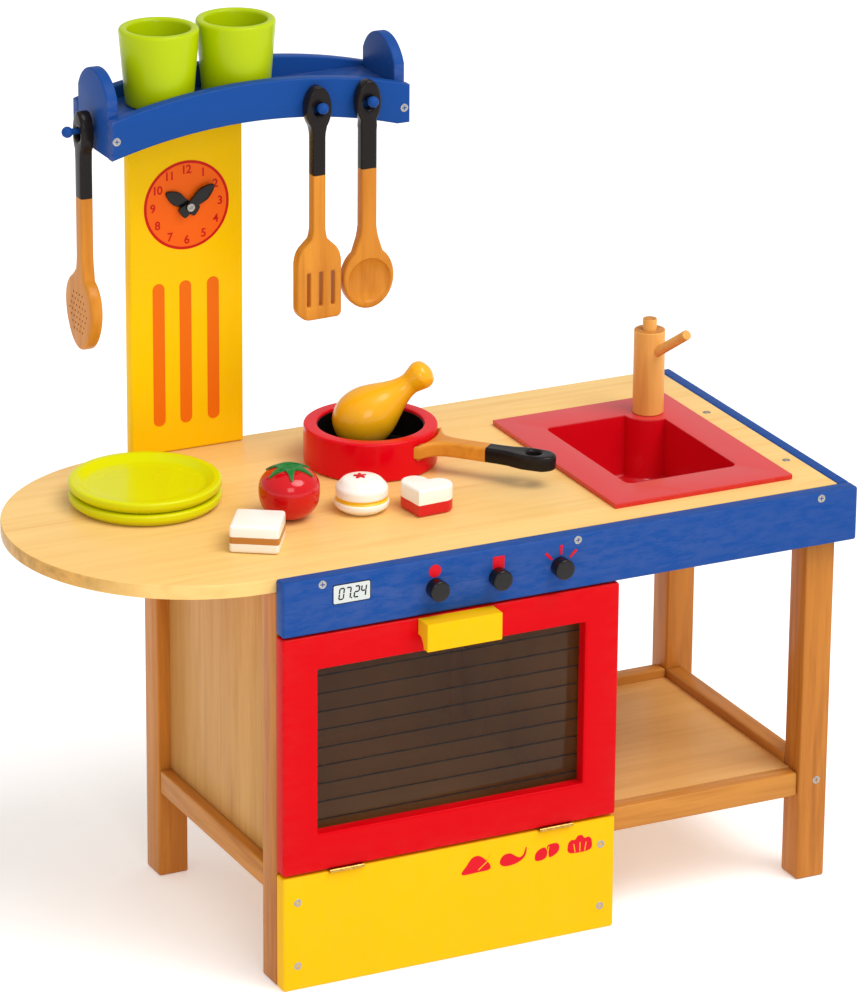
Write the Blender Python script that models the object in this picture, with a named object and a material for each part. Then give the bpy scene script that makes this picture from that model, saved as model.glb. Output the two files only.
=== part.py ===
"""Wooden play kitchen: oven cabinet, open shelf bay, sink and tap, clock board, top shelf, utensils and food.

Metres, +Z up. The origin is on the floor under the middle of the kitchen, and the front faces -Y.
"""

import math

import bmesh
import bpy
from mathutils import Matrix, Vector

for leftover in list(bpy.data.objects):
    bpy.data.objects.remove(leftover, do_unlink=True)

GAP = 0.0003  # between pieces that touch
RUNNING = 0.0003  # between a turning piece and its pin, on the radius

# Cabinet
CABINET_LENGTH = 0.648
WORKTOP_DEPTH = 0.387
WORKTOP_HEIGHT = 0.440
WORKTOP_THICK = 0.015
ROUND_END_INSET = -0.0025  # centre of the round end, right of the cabinet's left end
FRONT_THICK = 0.0177  # fascia, door and plinth boards
HANDLE_REACH = 0.022
FASCIA_HEIGHT = 0.058
SIDE_RAIL_THICK = 0.014
LEG = 0.033
BACK_OVERHANG = 0.061
BAY_LENGTH = 0.2745  # of the open bay under the sink; the oven takes the rest
PLINTH_HEIGHT = 0.1235
REAR_APRON_THICK = 0.016

# Lower rails and boards
RAIL_THICK = 0.018
RAIL_HEIGHT = 0.026
RAIL_BOTTOM = 0.095
RAISED_RAIL_BOTTOM = 0.105
RAIL_INSET = 0.0015  # of the left rail from the legs' outer faces
SHELF_RAIL_INSET = 0.004  # of the shelf's front rail from the legs' front faces
SHELF_SIDE_RAIL_THICK = 0.020
BOTTOM_BOARD_THICK = 0.010
PANEL_THICK = 0.006
PANEL_INSET = 0.0135
BACK_PANEL_INSET = 0.014  # from the back legs' front faces

# Door and its hinges
DOOR_TOP_GAP = 0.002
DOOR_SIDE_STILE = 0.038
DOOR_BOTTOM_RAIL = 0.040
DOOR_TOP_RAIL = 0.0367
PANE_THICK = 0.003
PANE_LAP = 0.006
HANDLE_LENGTH = 0.083
HANDLE_HEIGHT = 0.029
HANDLE_FROM_MIDDLE = 0.00175  # of the handle's middle, right of the door's
FINGER_COVE = 0.012
HINGE_LENGTH = 0.038
HINGE_FROM_END = 0.069
LEAF_THICK = 0.0009
LEAF_DEPTH = 0.0162
LEAF_GAP = 0.0004
BARREL_RADIUS = 0.0019
BARREL_PROUD = 0.0022  # axis in front of the door's face
PIN_RADIUS = 0.00085
PIN_RUNNING = 0.00015

# Knobs
KNOB_RADIUS = 0.0106
KNOB_LENGTH = 0.0138
KNOB_ROUNDING = 0.003
KNOB_STEM_RADIUS = 0.004
KNOB_STEM_LENGTH = 0.010
KNOB_FROM_LEFT = (0.1655, 0.2350, 0.3045)
KNOB_BELOW_TOP = 0.0305  # of the worktop

# Clock board
BOARD_FROM_LEFT = 0.0085
BOARD_WIDTH = 0.1265
BOARD_THICK = 0.014
CLOCK_ABOVE_TOP = 0.2655  # of the worktop
CLOCK_FROM_MIDDLE = 0.0015  # of the pivot, right of the board's middle
HAND_THICK = 0.003
HAND_GAP = 0.0006
HAND_WIDTH = 0.015
HOUR_HAND_LENGTH = 0.0295
MINUTE_HAND_LENGTH = 0.034
HAND_TAIL = 0.012
HOUR_HAND_ANGLE = 304  # clockwise from twelve, in degrees
MINUTE_HAND_ANGLE = 53
CLOCK_SCREW_RADIUS = 0.0015
CLOCK_SCREW_HEAD = 0.0035

# Top shelf
SHELF_LENGTH = 0.329
SHELF_FROM_LEFT = -0.046
SHELF_DEPTH = 0.102
ARCH_THICK = 0.013
ARCH_ABOVE_TOP = 0.351  # of the arches' lower edges, over the worktop
ARCH_BAND = 0.040
ARCH_RISE = 0.0225
SHELF_FLOOR_THICK = 0.008
SHELF_FLOOR_RISE = 0.039  # of its top over the arches' lower edges, as the next two
END_SHOULDER_RISE = 0.059
END_CROWN_RISE = 0.084
END_THICK = 0.012

# Pegs and what hangs on them
PEG_RADIUS = 0.0032
PEG_BALL_RADIUS = 0.0058
FRONT_PEG_REACH = 0.0225  # from the board's face to the middle of the ball
SIDE_PEG_REACH = 0.0275
PEG_SEAT = 0.010
FRONT_PEG_RISE = 0.0345  # over the arches' lower edges
SIDE_PEG_RISE = 0.021
TURNER_FROM_LEFT = 0.1745
SPOON_FROM_LEFT = 0.2305
UTENSIL_THICK = 0.0135
FRONT_STANDOFF = 0.0017  # of what hangs from the board's face
SIDE_STANDOFF = 0.0035
UTENSIL_HOLE_RADIUS = 0.0068
HANG_PLAY = 0.0003
HEAD_HALF_WIDTH = 0.0135
HEAD_HALF_HEIGHT = 0.0235
TURNER_DROP = 0.223  # from the hole to the lowest edge
SPOON_DROP = 0.219
SKIMMER_DROP = 0.229
TURNER_HALF_WIDTH = 0.0245
SLOT_RADIUS = 0.002
SLOT_LENGTH = 0.037
SLOT_SPACING = 0.0135
SLOTS_FROM_MIDDLE = 0.0015
SLOT_FROM_EDGE = 0.014
SPOON_HALF_WIDTH = 0.0285
SPOON_RIM = 0.0042
SPOON_DISH_DEPTH = 0.0065
SKIMMER_HALF_WIDTH = 0.034
SKIMMER_BLADE_OFFSET = 0.004  # of its blade from the line of its handle
TURNER_HANDLE = 0.0135
SPOON_HANDLE = 0.0175
SKIMMER_HANDLE = 0.0165

# Sink and tap
SINK_FROM_RIGHT = 0.051
SINK_WIDTH = 0.205
SINK_LENGTH = 0.276
SINK_FROM_FRONT = 0.029  # behind the worktop's front edge
RIM_THICK = 0.0052
RIM_SIDE = 0.038
RIM_FRONT = 0.046
BOWL_WIDTH = 0.129
BOWL_LENGTH = 0.185
BOWL_DEPTH = 0.070
BOWL_WALL = 0.003
TAP_FROM_BOWL_RIGHT = 0.006
TAP_BITE_RADIUS = 0.0275
TAP_COLUMN_RADIUS = 0.0165
TAP_COLUMN_HEIGHT = 0.092
TAP_AXLE_RADIUS = 0.0075
TAP_AXLE_PROUD = 0.012
TAP_AXLE_SEAT = 0.018
SPOUT_RADIUS = 0.0053
SPOUT_LENGTH = 0.078  # from the column's axis to the mouth
SPOUT_HEIGHT = 0.061  # of its line where it crosses the column's axis
SPOUT_SLOPE = 33.5
SPOUT_TURN = 8  # degrees towards +X from straight forward
SPOUT_ROOT = 0.0133  # where it starts, from the column's axis

# Cups, plates, pan and food
CUP_HEIGHT = 0.079
CUP_PLAY = 0.0032  # between a cup's foot and each arch
CUP_FLARE = 0.0065  # of its rim over its foot, on the radius
CUP_WALL = 0.009
CUP_FLOOR = 0.008
CUP_FROM_SHELF_END = 0.032  # of the first rim
CUP_APART = 0.0025
PLATE_RADIUS = 0.078
PLATE_HEIGHT = 0.013
PLATE_RIM = 0.0075
PLATE_FROM_LEFT = -0.030
PLATE_FROM_BACK = 0.137
PAN_RADIUS = 0.0695
PAN_HEIGHT = 0.042
PAN_WALL = 0.014
PAN_FLOOR = 0.008
PAN_FROM_SINK = 0.163
PAN_FROM_BACK = 0.124
PAN_HANDLE_ANGLE = -49
PAN_HANDLE_LENGTH = 0.136
PAN_HANDLE_THICK = 0.016
PAN_HANDLE_BELOW_RIM = 0.0065
PAN_HOLE_RADIUS = 0.0078
PAN_HOLE_FROM_END = 0.024
TOMATO_RADIUS = 0.0315
TOMATO_HEIGHT = 0.056
TOMATO_DIMPLE = 0.004
TOMATO_FULLNESS = 0.06  # how much its middle swells past an ellipse
TOMATO_PLACE = (-0.146, 0.147)  # from the pan's middle and the worktop's front edge, as the cakes' places
CAKE_HEIGHT = 0.029
ROUND_CAKE_RADIUS = 0.028
ROUND_CAKE_HEIGHT = 0.037
ROUND_CAKE_PLACE = (-0.070, 0.137)
SQUARE_CAKE_SIZE = (0.050, 0.051)
SQUARE_CAKE_PLACE = (-0.207, 0.090)
SQUARE_CAKE_TURN = -32.5
HEART_CAKE_RADIUS = 0.0145
HEART_CAKE_PLACE = (-0.014, 0.107)
HEART_CAKE_TURN = -40

# The frame that the sizes above give
TOTAL_LENGTH = CABINET_LENGTH - ROUND_END_INSET + WORKTOP_DEPTH / 2
LEFT = WORKTOP_DEPTH / 2 - ROUND_END_INSET - TOTAL_LENGTH / 2
RIGHT = LEFT + CABINET_LENGTH
FRONT = HANDLE_REACH - (HANDLE_REACH + FRONT_THICK + GAP + WORKTOP_DEPTH) / 2
LEG_FRONT = FRONT + FRONT_THICK + GAP
BACK = LEG_FRONT + WORKTOP_DEPTH
TOP = WORKTOP_HEIGHT
LEG_TOP = TOP - WORKTOP_THICK - GAP
OVEN_LENGTH = CABINET_LENGTH - BAY_LENGTH
BACK_LEG_FRONT = BACK - BACK_OVERHANG - LEG
RIGHT_LEG = RIGHT - SIDE_RAIL_THICK - GAP - LEG
MIDDLE_LEG = LEFT + OVEN_LENGTH - LEG
SHELF_SURFACE = RAIL_BOTTOM + RAIL_HEIGHT
SHELF_FRONT = BACK - SHELF_DEPTH
CUP_BASE_RADIUS = SHELF_DEPTH / 2 - ARCH_THICK - GAP - CUP_PLAY
CUP_RIM_RADIUS = CUP_BASE_RADIUS + CUP_FLARE
KNOB_HEIGHT = TOP - KNOB_BELOW_TOP
CLOCK_HEIGHT = TOP + CLOCK_ABOVE_TOP
ARCH_BOTTOM = TOP + ARCH_ABOVE_TOP
SHELF_FLOOR_TOP = ARCH_BOTTOM + SHELF_FLOOR_RISE
END_SHOULDER = ARCH_BOTTOM + END_SHOULDER_RISE
END_CROWN = ARCH_BOTTOM + END_CROWN_RISE
FRONT_PEG_HEIGHT = ARCH_BOTTOM + FRONT_PEG_RISE
SIDE_PEG_HEIGHT = ARCH_BOTTOM + SIDE_PEG_RISE
SINK_RIGHT = RIGHT - SINK_FROM_RIGHT
SINK_LEFT = SINK_RIGHT - SINK_WIDTH
SINK_FRONT = LEG_FRONT + SINK_FROM_FRONT
ON_TOP = TOP + GAP

UP = Matrix.Identity(4)
ALONG_Y = Matrix.Rotation(math.radians(90), 4, "X")  # a turned piece's axis points to -Y
ALONG_X = Matrix.Rotation(math.radians(-90), 4, "Y")  # a turned piece's axis points to -X


def paint(name, red, green, blue, roughness=0.4, metallic=0.0):
    """A Principled material from an sRGB colour, made once."""
    if name in bpy.data.materials:
        return bpy.data.materials[name]
    material = bpy.data.materials.new(name)
    material.use_nodes = True
    shader = material.node_tree.nodes["Principled BSDF"]
    linear = [((value / 255 + 0.055) / 1.055) ** 2.4 for value in (red, green, blue)]
    shader.inputs["Base Color"].default_value = (*linear, 1)
    shader.inputs["Roughness"].default_value = roughness
    shader.inputs["Metallic"].default_value = metallic
    material.diffuse_color = (*linear, 1)
    return material


BEECH = paint("beech", 248, 213, 150, 0.35)
RUBBERWOOD = paint("rubberwood", 195, 138, 78, 0.45)
BLUE = paint("blue_paint", 38, 88, 165)
RED = paint("red_paint", 215, 0, 25)
YELLOW = paint("yellow_paint", 247, 195, 0)
BLACK = paint("black_paint", 40, 34, 32)
GREEN = paint("green_paint", 188, 212, 8, 0.3)
OILED = paint("oiled_wood", 226, 152, 55)
SINK_RED = paint("red_plastic", 215, 20, 30, 0.15)
PANE = paint("smoked_acrylic", 90, 62, 42, 0.1)
BRASS = paint("brass", 190, 150, 75, 0.35, 1.0)
STEEL = paint("steel", 190, 190, 190, 0.3, 1.0)
CREAM = paint("cream_paint", 250, 244, 232)
TOMATO_RED = paint("tomato_red", 212, 12, 20, 0.25)
GOLDEN = paint("golden_paint", 245, 178, 45, 0.3)


def make(name, mesh_data, material, origin=(0, 0, 0), bevel=0.0, smooth=None):
    """An object from a bmesh in world space, with its origin at the given point."""
    bmesh.ops.recalc_face_normals(mesh_data, faces=mesh_data.faces)
    bmesh.ops.translate(mesh_data, verts=mesh_data.verts, vec=-Vector(origin))
    mesh = bpy.data.meshes.new(name)
    mesh_data.to_mesh(mesh)
    mesh_data.free()
    mesh.materials.append(material)
    if smooth:
        mesh.shade_smooth()
        mesh.set_sharp_from_angle(angle=math.radians(smooth))
    piece = bpy.data.objects.new(name, mesh)
    piece.location = origin
    bpy.context.scene.collection.objects.link(piece)
    if bevel:
        rounding = piece.modifiers.new("rounding", "BEVEL")
        rounding.width = bevel
        rounding.segments = 1
        rounding.angle_limit = math.radians(50)
    return piece


def change(piece, tool_data, operation="DIFFERENCE"):
    """Cuts a shape out of a piece, or joins it on, by a Boolean with a hidden tool."""
    tool = make(piece.name + "_tool", tool_data, piece.data.materials[0])
    tool.hide_render = True
    tool.display_type = "WIRE"
    step = piece.modifiers.new(operation.lower(), "BOOLEAN")
    step.operation = operation
    step.object = tool


def box(low, high):
    shape = bmesh.new()
    size = Vector(high) - Vector(low)
    place = Matrix.Translation((Vector(low) + Vector(high)) / 2)
    bmesh.ops.create_cube(shape, size=1, matrix=place @ Matrix.Diagonal((*size, 1)))
    return shape


def board(name, x, y, z, material, bevel=0.0012):
    """A straight board between two values of each coordinate."""
    return make(name, box((x[0], y[0], z[0]), (x[1], y[1], z[1])), material, bevel=bevel)


def prism(outline, axis, low, high):
    """A flat outline given in the two other coordinates, in X, Y, Z order, drawn out along an axis."""
    spots = {
        "X": lambda u, v, w: (w, u, v),
        "Y": lambda u, v, w: (u, w, v),
        "Z": lambda u, v, w: (u, v, w),
    }[axis]
    shape = bmesh.new()
    ends = [[shape.verts.new(spots(u, v, w)) for u, v in outline] for w in (low, high)]
    shape.faces.new(ends[0])
    shape.faces.new(ends[1])
    for here in range(len(outline)):
        after = (here + 1) % len(outline)
        shape.faces.new((ends[0][here], ends[0][after], ends[1][after], ends[1][here]))
    return shape


def arc(centre, radius, first, last, steps):
    """Points on an arc, angles in degrees, both ends included. The radius may be a pair for an ellipse."""
    across, along = radius if isinstance(radius, tuple) else (radius, radius)
    angles = [math.radians(first + (last - first) * i / steps) for i in range(steps + 1)]
    return [(centre[0] + across * math.cos(a), centre[1] + along * math.sin(a)) for a in angles]


def turned(profile, place, steps=24):
    """A shape turned about its own Z axis from (radius, height) points, first and last on the axis."""
    shape = bmesh.new()
    rings = []
    for radius, height in profile:
        count = steps if radius > 0 else 1
        rings.append(
            [
                shape.verts.new(
                    (
                        radius * math.cos(math.tau * i / count),
                        radius * math.sin(math.tau * i / count),
                        height,
                    )
                )
                for i in range(count)
            ]
        )
    for low, high in zip(rings, rings[1:]):
        for i in range(steps):
            after = (i + 1) % steps
            corners = [low[i % len(low)], low[after % len(low)], high[after % len(high)], high[i % len(high)]]
            shape.faces.new(list(dict.fromkeys(corners)))
    bmesh.ops.transform(shape, matrix=place, verts=shape.verts)
    return shape


def rod(radius, low, high, place, steps=20):
    return turned([(0, low), (radius, low), (radius, high), (0, high)], place, steps)


def at(x, y, z, turn=UP):
    return Matrix.Translation((x, y, z)) @ turn


def sink_outline(grow):
    """The bowl's outline, seen from above, with the bite round the tap at its far right corner."""
    left, front = SINK_LEFT + RIM_SIDE - grow, SINK_FRONT + RIM_FRONT - grow
    right, back = left + BOWL_WIDTH + 2 * grow, front + BOWL_LENGTH + 2 * grow
    x, y = tap_place()
    radius = TAP_BITE_RADIUS - grow
    start = math.degrees(math.atan2(-math.sqrt(radius**2 - (right - x) ** 2), right - x))
    end = math.degrees(math.atan2(back - y, -math.sqrt(radius**2 - (back - y) ** 2)))
    bite = arc((x, y), radius, start + 360, end + (360 if end < 0 else 0), 8)
    return [(left, front), (right, front), *bite, (left, back)]


def tap_place():
    x = SINK_LEFT + RIM_SIDE + BOWL_WIDTH - TAP_FROM_BOWL_RIGHT
    return x, SINK_FRONT + RIM_FRONT + BOWL_LENGTH


def make_worktop():
    right = RIGHT - SIDE_RAIL_THICK - GAP
    centre = (LEFT + ROUND_END_INSET, LEG_FRONT + WORKTOP_DEPTH / 2)
    outline = [(right, LEG_FRONT), (right, BACK), *arc(centre, WORKTOP_DEPTH / 2, 90, 270, 28)]
    worktop = make("worktop", prism(outline, "Z", TOP - WORKTOP_THICK, TOP), BEECH, bevel=0.0012, smooth=30)
    change(worktop, prism(sink_outline(BOWL_WALL + GAP), "Z", TOP - 2 * WORKTOP_THICK, TOP + WORKTOP_THICK))
    axle_hole = rod(TAP_AXLE_RADIUS + GAP, TOP - 2 * WORKTOP_THICK, TOP + WORKTOP_THICK, at(*tap_place(), 0))
    change(worktop, axle_hole)


def make_cabinet_frame():
    fascia_z = (TOP - FASCIA_HEIGHT, TOP)
    fascia = board("front_fascia", (LEFT, RIGHT), (FRONT, FRONT + FRONT_THICK), fascia_z, BLUE, 0.0025)
    for from_left in KNOB_FROM_LEFT:
        hole = rod(KNOB_STEM_RADIUS + RUNNING, -KNOB_STEM_LENGTH - GAP, KNOB_LENGTH, at(0, 0, 0, ALONG_Y), 16)
        bmesh.ops.translate(hole, verts=hole.verts, vec=(LEFT + from_left, FRONT, KNOB_HEIGHT))
        change(fascia, hole)
    side_x = (RIGHT - SIDE_RAIL_THICK, RIGHT)
    board("worktop_side_rail", side_x, (LEG_FRONT, BACK), fascia_z, BLUE, 0.0025)
    apron_y = (BACK_LEG_FRONT + LEG + GAP, BACK_LEG_FRONT + LEG + GAP + REAR_APRON_THICK)
    apron_x = (LEFT, RIGHT - SIDE_RAIL_THICK - GAP)
    board("rear_apron", apron_x, apron_y, (TOP - FASCIA_HEIGHT, LEG_TOP), RUBBERWOOD)
    for side, x in (("left", LEFT), ("middle", MIDDLE_LEG), ("right", RIGHT_LEG)):
        front_y = (LEG_FRONT, LEG_FRONT + LEG)
        board(f"front_{side}_leg", (x, x + LEG), front_y, (0, LEG_TOP), RUBBERWOOD, 0.0015)
        back_y = (BACK_LEG_FRONT, BACK_LEG_FRONT + LEG)
        board(f"back_{side}_leg", (x, x + LEG), back_y, (0, LEG_TOP), RUBBERWOOD, 0.0015)
    plinth_x = (LEFT, LEFT + OVEN_LENGTH)
    board("plinth", plinth_x, (FRONT, FRONT + FRONT_THICK), (0, PLINTH_HEIGHT), YELLOW, 0.0025)


def make_rails_and_bottom():
    between_y = (LEG_FRONT + LEG + GAP, BACK_LEG_FRONT - GAP)
    low_z = (RAIL_BOTTOM, SHELF_SURFACE)
    high_z = (RAISED_RAIL_BOTTOM, RAISED_RAIL_BOTTOM + RAIL_HEIGHT)
    rail_x = (LEFT + RAIL_INSET, LEFT + RAIL_INSET + RAIL_THICK)
    bay_x = (MIDDLE_LEG + LEG + GAP, RIGHT_LEG - GAP)
    front_y = (LEG_FRONT + SHELF_RAIL_INSET, LEG_FRONT + SHELF_RAIL_INSET + RAIL_THICK)
    back_y = (BACK_LEG_FRONT, BACK_LEG_FRONT + RAIL_THICK)
    board("left_rail", rail_x, between_y, low_z, RUBBERWOOD)
    board("shelf_front_rail", bay_x, front_y, low_z, RUBBERWOOD)
    board("shelf_back_rail", bay_x, back_y, high_z, RUBBERWOOD)
    board("shelf_side_rail", (RIGHT_LEG, RIGHT_LEG + SHELF_SIDE_RAIL_THICK), between_y, high_z, RUBBERWOOD)

    left, right = rail_x[1] + GAP, RIGHT_LEG - GAP
    leg_left, leg_right = LEFT + LEG + GAP, MIDDLE_LEG - GAP
    oven_back = BACK_LEG_FRONT + LEG
    outline = [
        (left, between_y[0]), (leg_left, between_y[0]), (leg_left, LEG_FRONT + GAP),
        (leg_right, LEG_FRONT + GAP), (leg_right, between_y[0]), (bay_x[0], between_y[0]),
        (bay_x[0], front_y[1] + GAP), (right, front_y[1] + GAP), (right, back_y[0] - GAP),
        (leg_right, back_y[0] - GAP), (leg_right, oven_back), (leg_left, oven_back),
        (leg_left, between_y[1]), (left, between_y[1]),
    ]
    make("bottom_board", prism(outline, "Z", SHELF_SURFACE - BOTTOM_BOARD_THICK, SHELF_SURFACE), BEECH)

    panel_z = (SHELF_SURFACE + GAP, LEG_TOP)
    left_x = LEFT + PANEL_INSET
    board("oven_left_panel", (left_x, left_x + PANEL_THICK), between_y, panel_z, BEECH, 0)
    right_x = LEFT + OVEN_LENGTH - PANEL_INSET
    board("oven_right_panel", (right_x - PANEL_THICK, right_x), between_y, panel_z, BEECH, 0)
    panel_y = BACK_LEG_FRONT + BACK_PANEL_INSET
    board("oven_back_panel", (leg_left, leg_right), (panel_y, panel_y + PANEL_THICK), panel_z, BEECH, 0)


def make_door():
    """The frame, its pane and its handle turn together about the hinge pins."""
    axis_z = PLINTH_HEIGHT + GAP + LEAF_THICK + LEAF_GAP / 2
    axis = (LEFT + OVEN_LENGTH / 2, FRONT - BARREL_PROUD, axis_z)
    bottom = axis_z + LEAF_GAP / 2 + LEAF_THICK + GAP
    top = TOP - FASCIA_HEIGHT - DOOR_TOP_GAP
    back = FRONT + FRONT_THICK
    frame = make("door_frame", box((LEFT, FRONT, bottom), (LEFT + OVEN_LENGTH, back, top)), RED, axis, 0.0025)
    low = Vector((LEFT + DOOR_SIDE_STILE, 0, bottom + DOOR_BOTTOM_RAIL))
    high = Vector((LEFT + OVEN_LENGTH - DOOR_SIDE_STILE, 0, top - DOOR_TOP_RAIL))
    lap = Vector((PANE_LAP, 0, PANE_LAP))
    play = Vector((GAP, 0, GAP))
    rebate = back - PANE_THICK - 2 * GAP
    change(frame, box(low + Vector((0, FRONT - FRONT_THICK, 0)), high + Vector((0, back + FRONT_THICK, 0))))
    deep = back + FRONT_THICK
    change(frame, box(low - lap - play + Vector((0, rebate, 0)), high + lap + play + Vector((0, deep, 0))))
    pane_low = low - lap + Vector((0, rebate + GAP, 0))
    pane_high = high + lap + Vector((0, rebate + GAP + PANE_THICK, 0))
    make("door_window", box(pane_low, pane_high), PANE, axis)

    left = axis[0] + HANDLE_FROM_MIDDLE - HANDLE_LENGTH / 2
    face, cove = FRONT - GAP, top - HANDLE_HEIGHT
    outline = [
        (FRONT - HANDLE_REACH, cove), (face - FINGER_COVE, cove),
        *arc((face - FINGER_COVE / 4, cove), (FINGER_COVE * 0.75, FINGER_COVE), 180, 90, 6),
        (face, cove + FINGER_COVE), (face, top), (FRONT - HANDLE_REACH, top),
    ]
    make("door_handle", prism(outline, "X", left, left + HANDLE_LENGTH), YELLOW, axis, 0.0012, 30)

    for side, x in (("left", LEFT + HINGE_FROM_END), ("right", LEFT + OVEN_LENGTH - HINGE_FROM_END)):
        make_hinge(side, x, axis)


def make_hinge(side, x, axis):
    """A butt hinge: both leaves reach their knuckles past each other's cut-outs."""
    half, knuckle = HINGE_LENGTH / 2, HINGE_LENGTH / 6
    clear = BARREL_RADIUS + 0.0005
    back = axis[1] + LEAF_DEPTH
    lower = (axis[2] - LEAF_GAP / 2 - LEAF_THICK, axis[2] - LEAF_GAP / 2)
    upper = (axis[2] + LEAF_GAP / 2, axis[2] + LEAF_GAP / 2 + LEAF_THICK)

    def barrel(radius, low, high):
        return rod(radius, low, high, at(x, axis[1], axis[2], ALONG_X), 14)

    lower_leaf = box((x - half, axis[1] + clear, lower[0]), (x + half, back, lower[1]))
    fixed = make(f"{side}_hinge_leaf_fixed", lower_leaf, BRASS)
    for low, high in ((-half, -knuckle - GAP), (knuckle + GAP, half)):
        change(fixed, box((x + low, axis[1], lower[0]), (x + high, back - clear, lower[1])), "UNION")
        change(fixed, barrel(BARREL_RADIUS, low, high), "UNION")
    change(fixed, barrel(PIN_RADIUS, -half + GAP, half - GAP), "UNION")

    moving_box = box((x - half, axis[1] + clear, upper[0]), (x + half, back, upper[1]))
    moving = make(f"{side}_hinge_leaf_door", moving_box, BRASS, axis)
    change(moving, box((x - knuckle, axis[1], upper[0]), (x + knuckle, back - clear, upper[1])), "UNION")
    change(moving, barrel(BARREL_RADIUS, -knuckle, knuckle), "UNION")
    change(moving, barrel(PIN_RADIUS + PIN_RUNNING, -half, half))


def make_knobs():
    for side, from_left in zip(("left", "middle", "right"), KNOB_FROM_LEFT):
        origin = (LEFT + from_left, FRONT, KNOB_HEIGHT)
        profile = [
            (0, -KNOB_STEM_LENGTH), (KNOB_STEM_RADIUS, -KNOB_STEM_LENGTH), (KNOB_STEM_RADIUS, GAP),
            (KNOB_RADIUS, GAP), (KNOB_RADIUS, KNOB_LENGTH - KNOB_ROUNDING),
            (KNOB_RADIUS - KNOB_ROUNDING / 3, KNOB_LENGTH - KNOB_ROUNDING / 3),
            (KNOB_RADIUS - KNOB_ROUNDING, KNOB_LENGTH), (0, KNOB_LENGTH),
        ]
        make(f"{side}_knob", turned(profile, at(*origin, ALONG_Y)), BLACK, origin, smooth=40)


def leaf_outline(length, width, tail):
    """A clock hand pointing up from its pivot, a leaf on each side of its waist."""
    right_edge = [
        (width * 0.36, -tail), (width * 0.42, -tail * 0.6), (width * 0.34, 0), (width * 0.4, length * 0.3),
        (width * 0.5, length * 0.62), (width * 0.34, length * 0.85), (width * 0.08, length),
    ]
    return right_edge + [(-x, z) for x, z in reversed(right_edge)]


def make_clock_board():
    left = LEFT + BOARD_FROM_LEFT
    face = BACK - BOARD_THICK
    board_x, board_z = (left, left + BOARD_WIDTH), (ON_TOP, ARCH_BOTTOM - GAP)
    clock_board = board("clock_board", board_x, (face, BACK), board_z, YELLOW, 0.002)
    centre = (left + BOARD_WIDTH / 2 + CLOCK_FROM_MIDDLE, face, CLOCK_HEIGHT)
    place = at(*centre, ALONG_Y)
    seat = BOARD_THICK * 0.6
    change(clock_board, rod(CLOCK_SCREW_RADIUS + GAP, -seat - GAP, seat, place, 12))
    start = HAND_GAP
    for name, length, width, angle in (
        ("hour_hand", HOUR_HAND_LENGTH, HAND_WIDTH, HOUR_HAND_ANGLE),
        ("minute_hand", MINUTE_HAND_LENGTH, HAND_WIDTH, MINUTE_HAND_ANGLE),
    ):
        outline = leaf_outline(length, width, HAND_TAIL)
        shape = prism(outline, "Y", face - start - HAND_THICK, face - start)
        turn = Matrix.Rotation(math.radians(angle), 4, "Y")
        turned_up = Matrix.Translation((centre[0], 0, centre[2])) @ turn
        bmesh.ops.transform(shape, matrix=turned_up, verts=shape.verts)
        hand = make(name, shape, BLACK, centre)
        change(hand, rod(CLOCK_SCREW_RADIUS + RUNNING, -seat, seat, place, 12))
        start += HAND_THICK + HAND_GAP
    head = [
        (0, -seat), (CLOCK_SCREW_RADIUS, -seat), (CLOCK_SCREW_RADIUS, start), (CLOCK_SCREW_HEAD, start),
        (CLOCK_SCREW_HEAD * 0.8, start + 0.0014), (0, start + 0.002),
    ]
    make("clock_screw", turned(head, place, 12), STEEL, smooth=40)


def arch_outline(flat_bottom):
    """An arched board seen from the front; the hidden one keeps a straight lower edge."""
    half = SHELF_LENGTH / 2
    radius = (half**2 + ARCH_RISE**2) / (2 * ARCH_RISE)
    angle = math.degrees(math.asin(half / radius))
    middle = LEFT + SHELF_FROM_LEFT + half

    def edge(base, first, last):
        return arc((middle, base + ARCH_RISE - radius), radius, first, last, 16)

    top = edge(ARCH_BOTTOM + ARCH_BAND, 90 - angle, 90 + angle)
    if flat_bottom:
        return [(middle - half, ARCH_BOTTOM), (middle + half, ARCH_BOTTOM), *top]
    return [*edge(ARCH_BOTTOM, 90 + angle, 90 - angle), *top]


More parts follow.
